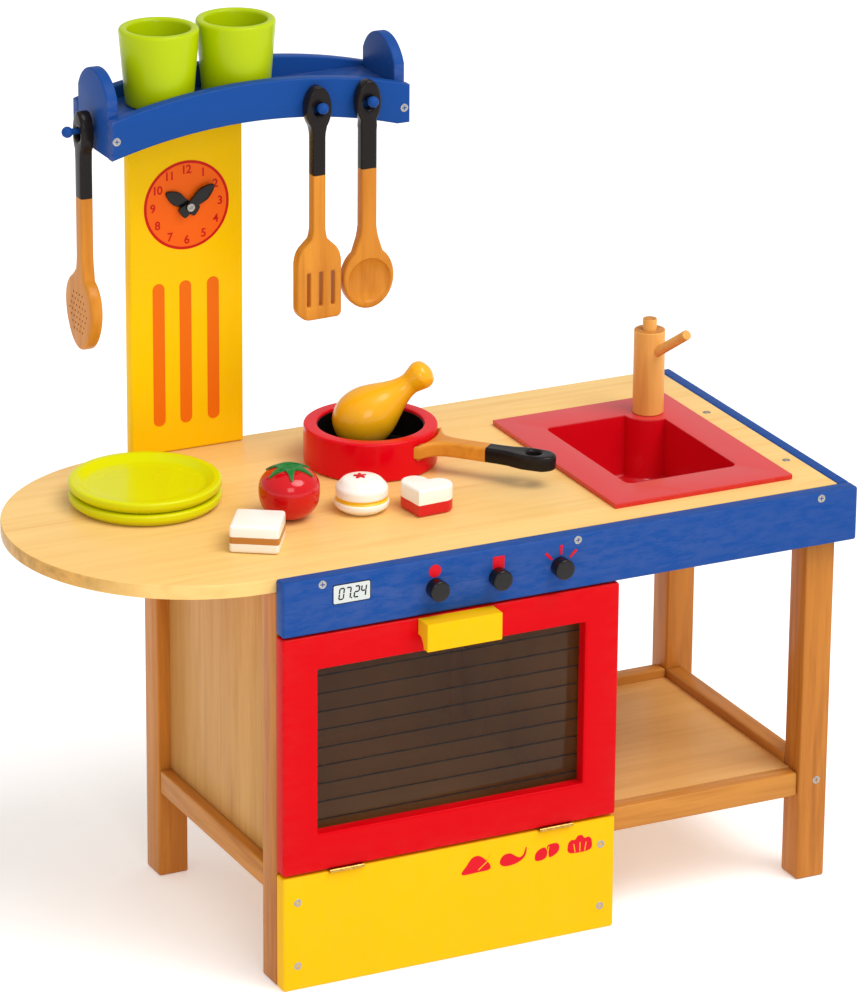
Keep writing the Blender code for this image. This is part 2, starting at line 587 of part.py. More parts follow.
def make_top_shelf():
    left = LEFT + SHELF_FROM_LEFT
    right = left + SHELF_LENGTH
    front_back = SHELF_FRONT + ARCH_THICK
    arch = prism(arch_outline(False), "Y", SHELF_FRONT, front_back)
    front_arch = make("shelf_front_arch", arch, BLUE, bevel=0.0015, smooth=30)
    for from_left in (TURNER_FROM_LEFT, SPOON_FROM_LEFT):
        place = at(LEFT + from_left, SHELF_FRONT, FRONT_PEG_HEIGHT, ALONG_Y)
        change(front_arch, rod(PEG_RADIUS + GAP, -PEG_SEAT - GAP, PEG_SEAT, place, 12))
    back_y = (BACK - ARCH_THICK, BACK)
    make("shelf_back_arch", prism(arch_outline(True), "Y", *back_y), BLUE, bevel=0.0015, smooth=30)
    inner = (front_back + GAP, back_y[0] - GAP)
    floor_x = (left + END_THICK + GAP, right - END_THICK - GAP)
    board("shelf_floor", floor_x, inner, (SHELF_FLOOR_TOP - SHELF_FLOOR_THICK, SHELF_FLOOR_TOP), BLUE, 0)

    half = (inner[1] - inner[0]) / 2
    rise = END_CROWN - END_SHOULDER
    radius = (half**2 + rise**2) / (2 * rise)
    angle = math.degrees(math.asin(half / radius))
    middle = (inner[0] + inner[1]) / 2
    crown = arc((middle, END_CROWN - radius), radius, 90 - angle, 90 + angle, 14)
    outline = [(inner[0], ARCH_BOTTOM), (inner[1], ARCH_BOTTOM), *crown]
    left_shape = prism(outline, "X", left, left + END_THICK)
    left_end = make("shelf_left_end", left_shape, BLUE, bevel=0.0015, smooth=30)
    place = at(left, middle, SIDE_PEG_HEIGHT, ALONG_X)
    change(left_end, rod(PEG_RADIUS + GAP, -PEG_SEAT - GAP, PEG_SEAT, place, 12))
    make("shelf_right_end", prism(outline, "X", right - END_THICK, right), BLUE, bevel=0.0015, smooth=30)
    return left, middle


def make_peg(name, place, reach):
    """A turned peg along its own Z, zero at the board's face, with a ball on its end."""
    join = math.degrees(math.asin(PEG_RADIUS / PEG_BALL_RADIUS))
    ball = [(r, z) for z, r in arc((reach, 0), PEG_BALL_RADIUS, 180 - join, 0, 8)]
    ball[-1] = (0, reach + PEG_BALL_RADIUS)
    make(name, turned([(0, -PEG_SEAT), (PEG_RADIUS, -PEG_SEAT), *ball], place, 16), BLUE, smooth=50)


def handle_side(handle, shoulder, neck_z):
    """The right edge of a utensil from the top of its head down to where the blade starts to widen."""
    head = arc((0, 0), (HEAD_HALF_WIDTH, HEAD_HALF_HEIGHT), 90, -52, 9)
    edge = handle / 2
    return [*head, (edge, -HEAD_HALF_HEIGHT - 0.004), (edge, neck_z), (edge + 0.002, shoulder)]


def turner_outline():
    half, drop = TURNER_HALF_WIDTH, TURNER_DROP
    right = handle_side(TURNER_HANDLE, -drop + 0.084, -drop + 0.092)
    right += [(half - 0.006, -drop + 0.070), (half, -drop + 0.060), (half, -drop + 0.014)]
    left = [(-x, z) for x, z in reversed(right[1:-1])]
    corner_right = arc((half - 0.005, -drop + 0.0135), 0.005, 0, -65, 3)
    corner_left = arc((-half + 0.014, -drop + 0.014), 0.014, 275, 180, 6)
    return right[:-1] + corner_right + corner_left + left


def spoon_outline():
    half, drop = SPOON_HALF_WIDTH, SPOON_DROP
    right = handle_side(SPOON_HANDLE, -drop + 0.074, -drop + 0.086)
    bowl = arc((0, -drop + 0.033), (half, 0.033), 48, -228, 26)
    return right + bowl + [(-x, z) for x, z in reversed(right[1:])]


def skimmer_outline():
    half, drop = SKIMMER_HALF_WIDTH, SKIMMER_DROP
    right = handle_side(SKIMMER_HANDLE, -drop + 0.084, -drop + 0.098)
    egg = []
    for x, z in arc((0, 0), (half, 0.040), 62, -242, 26):
        egg.append((x * (1 + 0.15 * z / 0.040) + SKIMMER_BLADE_OFFSET, -drop + 0.040 + z))
    return right + egg + [(-x, z) for x, z in reversed(right[1:])]


def make_utensil(name, outline, peg, axis, standoff):
    """A flat utensil hung by its hole, so that the hole's top rests on the peg."""
    hole_z = PEG_RADIUS + HANG_PLAY - UTENSIL_HOLE_RADIUS
    near, far = -standoff - UTENSIL_THICK, -standoff
    across = {"X": peg[1], "Y": peg[0]}[axis]
    depth = {"X": peg[0], "Y": peg[1]}[axis]
    placed = [(across + u, peg[2] + hole_z + v) for u, v in outline]
    piece = make(name, prism(placed, axis, depth + near, depth + far), OILED, peg, 0.0015, 40)
    turn = {"X": ALONG_X, "Y": ALONG_Y}[axis]
    hole = rod(UTENSIL_HOLE_RADIUS, -UTENSIL_THICK, 2 * UTENSIL_THICK, at(*peg, turn), 18)
    bmesh.ops.translate(hole, verts=hole.verts, vec=(0, 0, hole_z))
    change(piece, hole)
    return piece


def make_pegs_and_utensils(shelf_left, shelf_middle):
    turner_peg = (LEFT + TURNER_FROM_LEFT, SHELF_FRONT, FRONT_PEG_HEIGHT)
    spoon_peg = (LEFT + SPOON_FROM_LEFT, SHELF_FRONT, FRONT_PEG_HEIGHT)
    side_peg = (shelf_left, shelf_middle, SIDE_PEG_HEIGHT)
    make_peg("turner_peg", at(*turner_peg, ALONG_Y), FRONT_PEG_REACH)
    make_peg("spoon_peg", at(*spoon_peg, ALONG_Y), FRONT_PEG_REACH)
    make_peg("skimmer_peg", at(*side_peg, ALONG_X), SIDE_PEG_REACH)
    turner = make_utensil("turner", turner_outline(), turner_peg, "Y", FRONT_STANDOFF)
    slot_z = FRONT_PEG_HEIGHT - TURNER_DROP + SLOT_FROM_EDGE
    through = (SHELF_FRONT - 2 * UTENSIL_THICK, SHELF_FRONT + UTENSIL_THICK)
    for place in (-1, 0, 1):
        middle = turner_peg[0] + SLOTS_FROM_MIDDLE + place * SLOT_SPACING
        top_end = arc((middle, slot_z + SLOT_LENGTH - SLOT_RADIUS), SLOT_RADIUS, 0, 180, 4)
        bottom_end = arc((middle, slot_z + SLOT_RADIUS), SLOT_RADIUS, 180, 360, 4)
        change(turner, prism(top_end + bottom_end, "Y", *through))
    spoon = make_utensil("spoon", spoon_outline(), spoon_peg, "Y", FRONT_STANDOFF)
    wide = SPOON_HALF_WIDTH - SPOON_RIM
    deep = SPOON_DISH_DEPTH
    hollow = [
        (0, -deep), (wide * 0.54, -deep * 0.85), (wide * 0.86, -deep * 0.3), (wide, 0.001),
        (wide, 0.01), (0, 0.01),
    ]
    dish = turned(hollow, UP, 20)
    front = SHELF_FRONT - FRONT_STANDOFF - UTENSIL_THICK
    middle = spoon_peg[2] - SPOON_DROP + SPOON_HALF_WIDTH + 0.001
    bmesh.ops.transform(dish, matrix=at(spoon_peg[0], front, middle, ALONG_Y), verts=dish.verts)
    change(spoon, dish)
    make_utensil("skimmer", skimmer_outline(), side_peg, "X", SIDE_STANDOFF)


def make_sink():
    rim_low, rim_high = ON_TOP, ON_TOP + RIM_THICK
    plate = [
        (SINK_LEFT, SINK_FRONT), (SINK_RIGHT, SINK_FRONT),
        (SINK_RIGHT, SINK_FRONT + SINK_LENGTH), (SINK_LEFT, SINK_FRONT + SINK_LENGTH),
    ]
    bottom = rim_high - BOWL_DEPTH
    sink = make("sink", prism(plate, "Z", rim_low, rim_high), SINK_RED, bevel=0.001)
    change(sink, prism(sink_outline(BOWL_WALL), "Z", bottom - BOWL_WALL, rim_low + RIM_THICK / 2), "UNION")
    change(sink, prism(sink_outline(0), "Z", bottom, rim_high + RIM_THICK))
    change(sink, rod(TAP_AXLE_RADIUS + GAP, rim_low - RIM_THICK, rim_high + RIM_THICK, at(*tap_place(), 0)))


def make_tap():
    """The column and its spout turn together on a dowel that is fixed in the worktop."""
    x, y = tap_place()
    base = ON_TOP + RIM_THICK + GAP
    place = at(x, y, base)
    dowel = rod(TAP_AXLE_RADIUS, -TAP_AXLE_SEAT, TAP_COLUMN_HEIGHT + TAP_AXLE_PROUD, place)
    make("tap_axle", dowel, OILED, bevel=0.0008, smooth=40)
    post = rod(TAP_COLUMN_RADIUS, 0, TAP_COLUMN_HEIGHT, place, 28)
    column = make("tap_column", post, OILED, (x, y, base), 0.0012, 40)
    change(column, rod(TAP_AXLE_RADIUS + RUNNING + GAP, -0.01, TAP_COLUMN_HEIGHT + 0.01, place))
    lean = Matrix.Rotation(math.radians(90 - SPOUT_SLOPE), 4, "X")
    sideways = Matrix.Rotation(math.radians(SPOUT_TURN), 4, "Z")
    spout_place = place @ Matrix.Translation((0, 0, SPOUT_HEIGHT)) @ sideways @ lean
    change(column, rod(SPOUT_RADIUS + GAP, SPOUT_ROOT - GAP, SPOUT_LENGTH, spout_place, 16))
    spout = rod(SPOUT_RADIUS, SPOUT_ROOT, SPOUT_LENGTH, spout_place, 16)
    make("tap_spout", spout, OILED, (x, y, base), 0.0006, 40)


def make_cups():
    inner = CUP_RIM_RADIUS - CUP_WALL
    profile = [
        (0, 0), (CUP_BASE_RADIUS - 0.002, 0), (CUP_BASE_RADIUS, 0.002), (CUP_RIM_RADIUS, CUP_HEIGHT - 0.003),
        (CUP_RIM_RADIUS - 0.003, CUP_HEIGHT), (inner + 0.003, CUP_HEIGHT), (inner, CUP_HEIGHT - 0.003),
        (CUP_BASE_RADIUS - CUP_WALL, CUP_FLOOR), (0, CUP_FLOOR),
    ]
    y = BACK - SHELF_DEPTH / 2
    first = LEFT + SHELF_FROM_LEFT + CUP_FROM_SHELF_END + CUP_RIM_RADIUS
    for name, x in (("left_cup", first), ("right_cup", first + 2 * CUP_RIM_RADIUS + CUP_APART)):
        place = (x, y, SHELF_FLOOR_TOP + GAP)
        make(name, turned(profile, at(*place), 28), GREEN, place, smooth=40)


def make_plates():
    dish = PLATE_RADIUS - PLATE_RIM
    profile = [
        (0, 0), (dish + 0.002, 0), (PLATE_RADIUS - 0.001, 0.0045), (PLATE_RADIUS, 0.008),
        (PLATE_RADIUS - 0.002, PLATE_HEIGHT), (dish, PLATE_HEIGHT), (dish - 0.007, PLATE_HEIGHT - 0.004),
        (dish - 0.018, PLATE_HEIGHT - 0.0065), (0, PLATE_HEIGHT - 0.007),
    ]
    x, y = LEFT + PLATE_FROM_LEFT, BACK - PLATE_FROM_BACK
    for name, height in (("lower_plate", 0), ("upper_plate", PLATE_HEIGHT + GAP)):
        place = (x, y, ON_TOP + height)
        make(name, turned(profile, at(*place), 36), GREEN, place, smooth=30)


def make_pan():
    """The turned pan, its wooden handle, and the drumstick that lies in it."""
    x, y = SINK_LEFT - PAN_FROM_SINK, BACK - PAN_FROM_BACK
    inner = PAN_RADIUS - PAN_WALL
    profile = [
        (0, 0), (PAN_RADIUS - 0.003, 0), (PAN_RADIUS, 0.003), (PAN_RADIUS, PAN_HEIGHT - 0.001),
        (PAN_RADIUS - 0.001, PAN_HEIGHT), (inner + 0.001, PAN_HEIGHT), (inner, PAN_HEIGHT - 0.001),
        (inner, PAN_FLOOR), (0, PAN_FLOOR),
    ]
    place = (x, y, ON_TOP)
    make("pan", turned(profile, at(*place), 36), RED, place, smooth=40)

    root, end = PAN_RADIUS + GAP, PAN_RADIUS + PAN_HANDLE_LENGTH
    flare = math.degrees(math.asin(0.034 / root))
    side = [
        (root - 0.003, 0.031), (root + 0.003, 0.019), (root + 0.009, 0.012), (root + 0.017, 0.0095),
        (end - 0.058, 0.0095), (end - 0.048, 0.0105), (end - 0.036, 0.0145),
    ]
    head = arc((end - 0.022, 0), (0.022, 0.0155), -65, 65, 10)
    wall = arc((0, 0), root, flare, -flare, 10)
    outline = [*wall, *[(u, -v) for u, v in side], *head, *[(u, v) for u, v in reversed(side)]]
    high = PAN_HEIGHT - PAN_HANDLE_BELOW_RIM
    turn = Matrix.Rotation(math.radians(PAN_HANDLE_ANGLE), 4, "Z")
    shape = prism(outline, "Z", high - PAN_HANDLE_THICK, high)
    bmesh.ops.transform(shape, matrix=at(*place, turn), verts=shape.verts)
    handle = make("pan_handle", shape, OILED, place, 0.0012, 40)
    hole_place = at(*place, turn) @ Matrix.Translation((end - PAN_HOLE_FROM_END, 0, 0))
    change(handle, rod(PAN_HOLE_RADIUS, 0, PAN_HEIGHT, hole_place, 18))

    along = Vector((0.0485, -0.020, 0.041)).normalized()
    lean = Vector((0, 0, 1)).rotation_difference(along).to_matrix().to_4x4()
    middle = (x + 0.0034, y + 0.0165, ON_TOP + PAN_FLOOR + 0.0348)
    leg = [
        (0, -0.037), (0.012, -0.034), (0.022, -0.0265), (0.0285, -0.016), (0.0310, -0.003), (0.0293, 0.010),
        (0.024, 0.023), (0.018, 0.035), (0.0135, 0.046), (0.0118, 0.056), (0.0138, 0.064), (0.0152, 0.071),
        (0.0125, 0.078), (0.006, 0.082), (0, 0.083),
    ]
    make("drumstick", turned(leg, at(*middle, lean), 20), GOLDEN, middle, smooth=60)
    return x


def make_food(pan_x):
    """The tomato stands off the plates, and the cakes stand in front of the pan."""
    half = TOMATO_HEIGHT / 2
    round_shape = [(r, half + z) for z, r in arc((0, 0), (half, TOMATO_RADIUS), 180, 0, 10)]
    fullest = 1 + TOMATO_FULLNESS
    waist = []
    for r, z in round_shape[1:-1]:
        waist.append((r * (1 + TOMATO_FULLNESS * math.sin(math.pi * z / TOMATO_HEIGHT)) / fullest, z))
    profile = [
        (0, 0.0004), (0.0113, 0), *waist[1:-1],
        (0.0094, TOMATO_HEIGHT - TOMATO_DIMPLE / 2), (0, TOMATO_HEIGHT - TOMATO_DIMPLE),
    ]
    place = (pan_x + TOMATO_PLACE[0], LEG_FRONT + TOMATO_PLACE[1], ON_TOP)
    make("tomato", turned(profile, at(*place), 24), TOMATO_RED, place, smooth=60)

    place = (pan_x + SQUARE_CAKE_PLACE[0], LEG_FRONT + SQUARE_CAKE_PLACE[1], ON_TOP)
    wide, deep = SQUARE_CAKE_SIZE
    turn = Matrix.Rotation(math.radians(SQUARE_CAKE_TURN), 4, "Z")
    shape = box((-wide / 2, -deep / 2, 0), (wide / 2, deep / 2, CAKE_HEIGHT))
    bmesh.ops.transform(shape, matrix=at(*place, turn), verts=shape.verts)
    make("square_cake", shape, CREAM, place, 0.003)

    place = (pan_x + ROUND_CAKE_PLACE[0], LEG_FRONT + ROUND_CAKE_PLACE[1], ON_TOP)
    wide = ROUND_CAKE_RADIUS
    profile = [
        (0, 0), (wide - 0.009, 0), (wide - 0.002, 0.004), (wide, 0.009), (wide - 0.002, 0.013),
        (wide - 0.0035, 0.0145), (wide - 0.002, 0.018), (wide - 0.0025, 0.025), (wide - 0.007, 0.032),
        (wide - 0.015, ROUND_CAKE_HEIGHT - 0.001), (0, ROUND_CAKE_HEIGHT),
    ]
    make("round_cake", turned(profile, at(*place), 24), CREAM, place, smooth=60)

    place = (pan_x + HEART_CAKE_PLACE[0], LEG_FRONT + HEART_CAKE_PLACE[1], ON_TOP)
    r = HEART_CAKE_RADIUS
    lobes = arc((r * 0.84, r * 0.55), r, -42, 138, 9)
    outline = [(0, -r * 1.62), *lobes, (0, r * 1.12), *[(-u, v) for u, v in reversed(lobes)]]
    shape = prism(outline, "Z", 0, CAKE_HEIGHT)
    turn = Matrix.Rotation(math.radians(HEART_CAKE_TURN), 4, "Z")
    bmesh.ops.transform(shape, matrix=at(*place, turn), verts=shape.verts)
    make("heart_cake", shape, CREAM, place, 0.0025, 40)


def main():
    make_worktop()
    make_cabinet_frame()
    make_rails_and_bottom()
    make_door()
    make_knobs()
    make_clock_board()
    shelf_left, shelf_middle = make_top_shelf()
    make_pegs_and_utensils(shelf_left, shelf_middle)
    make_sink()
    make_tap()
    make_cups()
    make_plates()
    pan_x = make_pan()
    make_food(pan_x)


main()
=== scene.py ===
import math

import bpy
from mathutils import Matrix, Vector


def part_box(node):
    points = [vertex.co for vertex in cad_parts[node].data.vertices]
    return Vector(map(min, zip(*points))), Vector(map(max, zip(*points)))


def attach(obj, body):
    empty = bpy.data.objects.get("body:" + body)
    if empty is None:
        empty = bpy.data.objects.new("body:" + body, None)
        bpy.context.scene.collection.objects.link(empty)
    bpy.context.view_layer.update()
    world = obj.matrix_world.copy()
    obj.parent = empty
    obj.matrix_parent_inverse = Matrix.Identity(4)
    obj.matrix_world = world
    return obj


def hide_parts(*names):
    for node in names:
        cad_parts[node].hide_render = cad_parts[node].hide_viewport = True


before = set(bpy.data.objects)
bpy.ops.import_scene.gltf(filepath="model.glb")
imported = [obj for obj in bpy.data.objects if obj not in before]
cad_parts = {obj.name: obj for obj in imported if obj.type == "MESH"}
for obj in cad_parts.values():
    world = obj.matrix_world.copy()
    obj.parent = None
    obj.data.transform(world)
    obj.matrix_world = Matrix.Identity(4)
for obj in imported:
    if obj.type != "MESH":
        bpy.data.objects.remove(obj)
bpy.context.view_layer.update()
print("frame loaded,", len(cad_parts), "nodes")

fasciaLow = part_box("front_fascia")[0]
left, front = fasciaLow.x, fasciaLow.y  # the cabinet's left end and its front face
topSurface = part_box("worktop")[1].z
facingFront = Matrix.Rotation(math.radians(90), 4, "X")  # a flat shape stood up to face the front
facingLeft = Matrix.Rotation(math.radians(-90), 4, "Y")
# a flat shape whose x runs along +Y
facingRight = Matrix(((0, 0, 1, 0), (1, 0, 0, 0), (0, 1, 0, 0), (0, 0, 0, 1)))

# camera ----------------------------------------------------------

cameraView = {
    "place": (-2.1184, -4.6011, 2.4369), "yaw": 26.33, "pitch": 20.64, "roll": 0.464, "lens": 200.92
}

bpy.ops.object.camera_add()
camera = bpy.context.object
camera.name = "viewCamera"
camera.data.lens = cameraView["lens"]
camera.data.sensor_width = 36
camera.data.clip_end = 60
x, y, z = cameraView["place"]
camera.matrix_world = (
    Matrix.Translation((left + x, front + y, z))
    @ Matrix.Rotation(math.radians(-cameraView["yaw"]), 4, "Z")
    @ Matrix.Rotation(math.radians(90 - cameraView["pitch"]), 4, "X")
    @ Matrix.Rotation(math.radians(cameraView["roll"]), 4, "Z")
)
bpy.context.scene.camera = camera
bpy.context.scene.view_settings.view_transform = "Standard"


# shader groups ---------------------------------------------------

def newGroup(name, inputs, outputs):
    group = bpy.data.node_groups.new(name, "ShaderNodeTree")
    for label, kind, value in inputs:
        socket = group.interface.new_socket(name=label, in_out="INPUT", socket_type="NodeSocket" + kind)
        if value is not None:
            socket.default_value = value
    for label, kind in outputs:
        group.interface.new_socket(name=label, in_out="OUTPUT", socket_type="NodeSocket" + kind)
    return group, group.nodes.new("NodeGroupInput"), group.nodes.new("NodeGroupOutput")


def addNode(tree, kind, **values):
    node = tree.nodes.new("ShaderNode" + kind)
    for label, value in values.items():
        setattr(node, label, value)
    return node


def math2(tree, operation, first, second, clamp=False):
    node = addNode(tree, "Math", operation=operation, use_clamp=clamp)
    for socket, value in zip(node.inputs, (first, second)):
        if isinstance(value, (int, float)):
            socket.default_value = value
        else:
            tree.links.new(value, socket)
    return node.outputs[0]


def blendColour(tree, factor, first, second, kind="MIX"):
    node = addNode(tree, "Mix", data_type="RGBA", blend_type=kind)
    for socket, value in zip((node.inputs[0], node.inputs[6], node.inputs[7]), (factor, first, second)):
        if isinstance(value, (int, float, tuple)):
            socket.default_value = value
        else:
            tree.links.new(value, socket)
    return node.outputs[2]


def noise(tree, vector, scale, detail=2.0, rough=0.5, twist=0.0):
    node = addNode(tree, "TexNoise")
    node.inputs["Scale"].default_value = scale
    node.inputs["Detail"].default_value = detail
    node.inputs["Roughness"].default_value = rough
    node.inputs["Distortion"].default_value = twist
    tree.links.new(vector, node.inputs["Vector"])
    return node.outputs["Fac"]


def ramp(tree, value, low, high):
    node = addNode(tree, "MapRange")
    node.inputs["From Min"].default_value = low
    node.inputs["From Max"].default_value = high
    tree.links.new(value, node.inputs["Value"])
    return node.outputs["Result"]


# wood: long soft bands, fine pores along the grain, and a few short flecks
woodGroup, woodIn, woodOut = newGroup(
    "woodGrain",
    [("Place", "Vector", None), (
        "Light", "Color", (0.8, 0.5, 0.2, 1)
    ), ("Dark", "Color", (0.5, 0.25, 0.1, 1)),
     ("Contrast", "Float", 0.5), ("Roughness", "Float", 0.4)],
    [("Colour", "Color"), ("Roughness", "Float"), ("Height", "Float")],
)
place = woodIn.outputs["Place"]
bands = ramp(woodGroup, noise(woodGroup, place, 14, 3, 0.55, 0.6), 0.34, 0.68)
pores = ramp(woodGroup, noise(woodGroup, place, 120, 3, 0.6), 0.42, 0.72)
fleck = ramp(woodGroup, noise(woodGroup, place, 62, 1, 0.4, 0.3), 0.63, 0.72)
mixed = math2(
    woodGroup, "ADD", math2(woodGroup, "MULTIPLY", bands, 0.62), math2(woodGroup, "MULTIPLY", pores, 0.42)
)
share = math2(woodGroup, "MULTIPLY", mixed, woodIn.outputs["Contrast"], True)
tone = blendColour(woodGroup, share, woodIn.outputs["Light"], woodIn.outputs["Dark"])
fleckShare = math2(
    woodGroup, "MULTIPLY", fleck, math2(woodGroup, "MULTIPLY", woodIn.outputs["Contrast"], 0.3)
)
tone = blendColour(woodGroup, fleckShare, tone, woodIn.outputs["Dark"], "MULTIPLY")
woodGroup.links.new(tone, woodOut.inputs["Colour"])
roughened = math2(woodGroup, "ADD", woodIn.outputs["Roughness"], math2(woodGroup, "MULTIPLY", pores, 0.12))
woodGroup.links.new(roughened, woodOut.inputs["Roughness"])
woodGroup.links.new(math2(woodGroup, "MULTIPLY", pores, -1.0), woodOut.inputs["Height"])

# paint: a faint cloudiness, brushed fibres that stand up under the film, and a painted highlight that
# lightens the edges
paintGroup, paintIn, paintOut = newGroup(
    "paintFilm",
    [("Place", "Vector", None), ("Colour", "Color", (0.5, 0.5, 0.5, 1)), ("Cloud", "Float", 0.1),
     ("Edge", "Float", 0.15), ("Roughness", "Float", 0.3)],
    [("Colour", "Color"), ("Roughness", "Float"), ("Height", "Float")],
)
place = paintIn.outputs["Place"]
cloud = ramp(paintGroup, noise(paintGroup, place, 9, 3, 0.6), 0.35, 0.7)
fibre = noise(paintGroup, place, 170, 3, 0.65)
peel = noise(paintGroup, place, 620, 1, 0.5)
darker = blendColour(paintGroup, math2(paintGroup, "MULTIPLY", cloud, paintIn.outputs["Cloud"]),
                     paintIn.outputs["Colour"], (0.45, 0.45, 0.45, 1), "MULTIPLY")
geometry = addNode(paintGroup, "NewGeometry")
ridge = ramp(paintGroup, geometry.outputs["Pointiness"], 0.515, 0.60)
# painted highlight: the base colour is screened lighter along sharp edges, where light catches them; the same
# mask also roughens the film there
edgeHighlightMask = math2(paintGroup, "MULTIPLY", ridge, ramp(paintGroup, fibre, 0.35, 0.6))
edgeHighlightShare = math2(paintGroup, "MULTIPLY", edgeHighlightMask, paintIn.outputs["Edge"])
edgeHighlighted = blendColour(paintGroup, edgeHighlightShare, darker, (0.75, 0.6, 0.42, 1), "SCREEN")
paintGroup.links.new(edgeHighlighted, paintOut.inputs["Colour"])
film = math2(paintGroup, "ADD", paintIn.outputs["Roughness"], math2(paintGroup, "MULTIPLY", cloud, 0.07))
film = math2(paintGroup, "ADD", film, math2(paintGroup, "MULTIPLY", edgeHighlightShare, 0.4))
paintGroup.links.new(film, paintOut.inputs["Roughness"])
skin = math2(
    paintGroup, "ADD", math2(paintGroup, "MULTIPLY", fibre, 0.7), math2(paintGroup, "MULTIPLY", peel, 0.3)
)
paintGroup.links.new(skin, paintOut.inputs["Height"])


# materials -------------------------------------------------------

def linear(red, green, blue):
    return tuple(
        ((value / 255 + 0.055) / 1.055) ** 2.4 if value > 10 else value / 3295 for value in (red, green, blue)
    ) + (1,)


def startMaterial(name, coat=0.0, specular=0.3):
    material = bpy.data.materials.new(name)
    material.use_nodes = True
    tree = material.node_tree
    shader = tree.nodes["Principled BSDF"]
    shader.inputs["Coat Weight"].default_value = coat
    shader.inputs["Coat Roughness"].default_value = 0.08
    shader.inputs["Specular IOR Level"].default_value = specular
    return material, tree, shader


def placeNodes(tree, scale=(1, 1, 1), turn=(0, 0, 0), shift=(0, 0, 0)):
    spot = addNode(tree, "TexCoord")
    mapping = addNode(tree, "Mapping")
    mapping.inputs["Scale"].default_value = scale
    mapping.inputs["Rotation"].default_value = turn
    mapping.inputs["Location"].default_value = shift
    tree.links.new(spot.outputs["Object"], mapping.inputs["Vector"])
    return mapping.outputs["Vector"]


def wireBump(tree, shader, height, strength, distance):
    bump = addNode(tree, "Bump")
    bump.inputs["Strength"].default_value = strength
    bump.inputs["Distance"].default_value = distance
    tree.links.new(height, bump.inputs["Height"])
    tree.links.new(bump.outputs["Normal"], shader.inputs["Normal"])


def groupNode(tree, group, vector, **values):
    node = addNode(tree, "Group", node_tree=group)
    tree.links.new(vector, node.inputs["Place"])
    for label, value in values.items():
        node.inputs[label].default_value = value
    return node


alongGrain = {"X": (0.07, 1, 1), "Y": (1, 0.07, 1), "Z": (1, 1, 0.07)}


def woodMaterial(
    name, light, dark, along, contrast=0.6, rough=0.38, coat=0.15, endGrain=True, shift=(0, 0, 0)
):
    material, tree, shader = startMaterial(name, coat * 0.5, 0.15)
    vector = placeNodes(tree, alongGrain[along], shift=shift)
    grain = groupNode(
        tree, woodGroup, vector, Light=linear(*light), Dark=linear(*dark), Contrast=contrast, Roughness=rough
    )
    colour = grain.outputs["Colour"]
    if endGrain:  # the sawn ends drink more lacquer and go darker
        facing = addNode(tree, "NewGeometry")
        parts = addNode(tree, "SeparateXYZ")
        tree.links.new(facing.outputs["Normal"], parts.inputs[0])
        ends = ramp(tree, math2(tree, "ABSOLUTE", parts.outputs[along], 0), 0.6, 0.9)
        rings = ramp(tree, noise(tree, placeNodes(tree), 55, 3, 0.6, 1.2), 0.3, 0.7)
        endTone = blendColour(tree, rings, tuple(c * 0.62 for c in linear(*dark)[:3]) + (1,), linear(*dark))
        colour = blendColour(tree, ends, colour, endTone)
    tree.links.new(colour, shader.inputs["Base Color"])
    tree.links.new(grain.outputs["Roughness"], shader.inputs["Roughness"])
    wireBump(tree, shader, grain.outputs["Height"], 0.25, 0.0004)
    return material


def paintMaterial(name, colour, rough=0.3, coat=0.25, cloud=0.12, edge=0.14, along="Z", specular=0.2):
    material, tree, shader = startMaterial(name, coat, specular)
    vector = placeNodes(tree, {"X": (0.3, 1, 1), "Y": (1, 0.3, 1), "Z": (1, 1, 0.3)}[along])
    film = groupNode(
        tree, paintGroup, vector, Colour=linear(*colour), Cloud=cloud, Edge=edge, Roughness=rough
    )
    tree.links.new(film.outputs["Colour"], shader.inputs["Base Color"])
    tree.links.new(film.outputs["Roughness"], shader.inputs["Roughness"])
    wireBump(tree, shader, film.outputs["Height"], 0.12, 0.0003)
    return material


def bandMask(tree, low, high, axis="Z", soft=0.00025, wobble=0.0):
    spot = addNode(tree, "TexCoord")
    parts = addNode(tree, "SeparateXYZ")
    tree.links.new(spot.outputs["Object"], parts.inputs[0])
    level = parts.outputs[axis]
    if wobble:
        ripple = noise(tree, spot.outputs["Object"], 90, 2, 0.5)
        level = math2(
            tree, "ADD", level, math2(tree, "MULTIPLY", math2(tree, "SUBTRACT", ripple, 0.5), wobble)
        )
    above = ramp(tree, level, low - soft, low + soft)
    below = ramp(tree, level, high + soft, high - soft)
    return math2(tree, "MULTIPLY", above, below)


def bandedPaint(name, colour, bands, rough=0.3, coat=0.25, cloud=0.06, edge=0.06):
    material, tree, shader = startMaterial(name, coat)
    film = groupNode(
        tree, paintGroup, placeNodes(tree), Colour=linear(*colour), Cloud=cloud, Edge=edge, Roughness=rough
    )
    shade = film.outputs["Colour"]
    for low, high, bandColour in bands:
        shade = blendColour(tree, bandMask(tree, low, high, wobble=0.0006), shade, linear(*bandColour))
    tree.links.new(shade, shader.inputs["Base Color"])
    tree.links.new(film.outputs["Roughness"], shader.inputs["Roughness"])
    wireBump(tree, shader, film.outputs["Height"], 0.12, 0.0003)
    return material


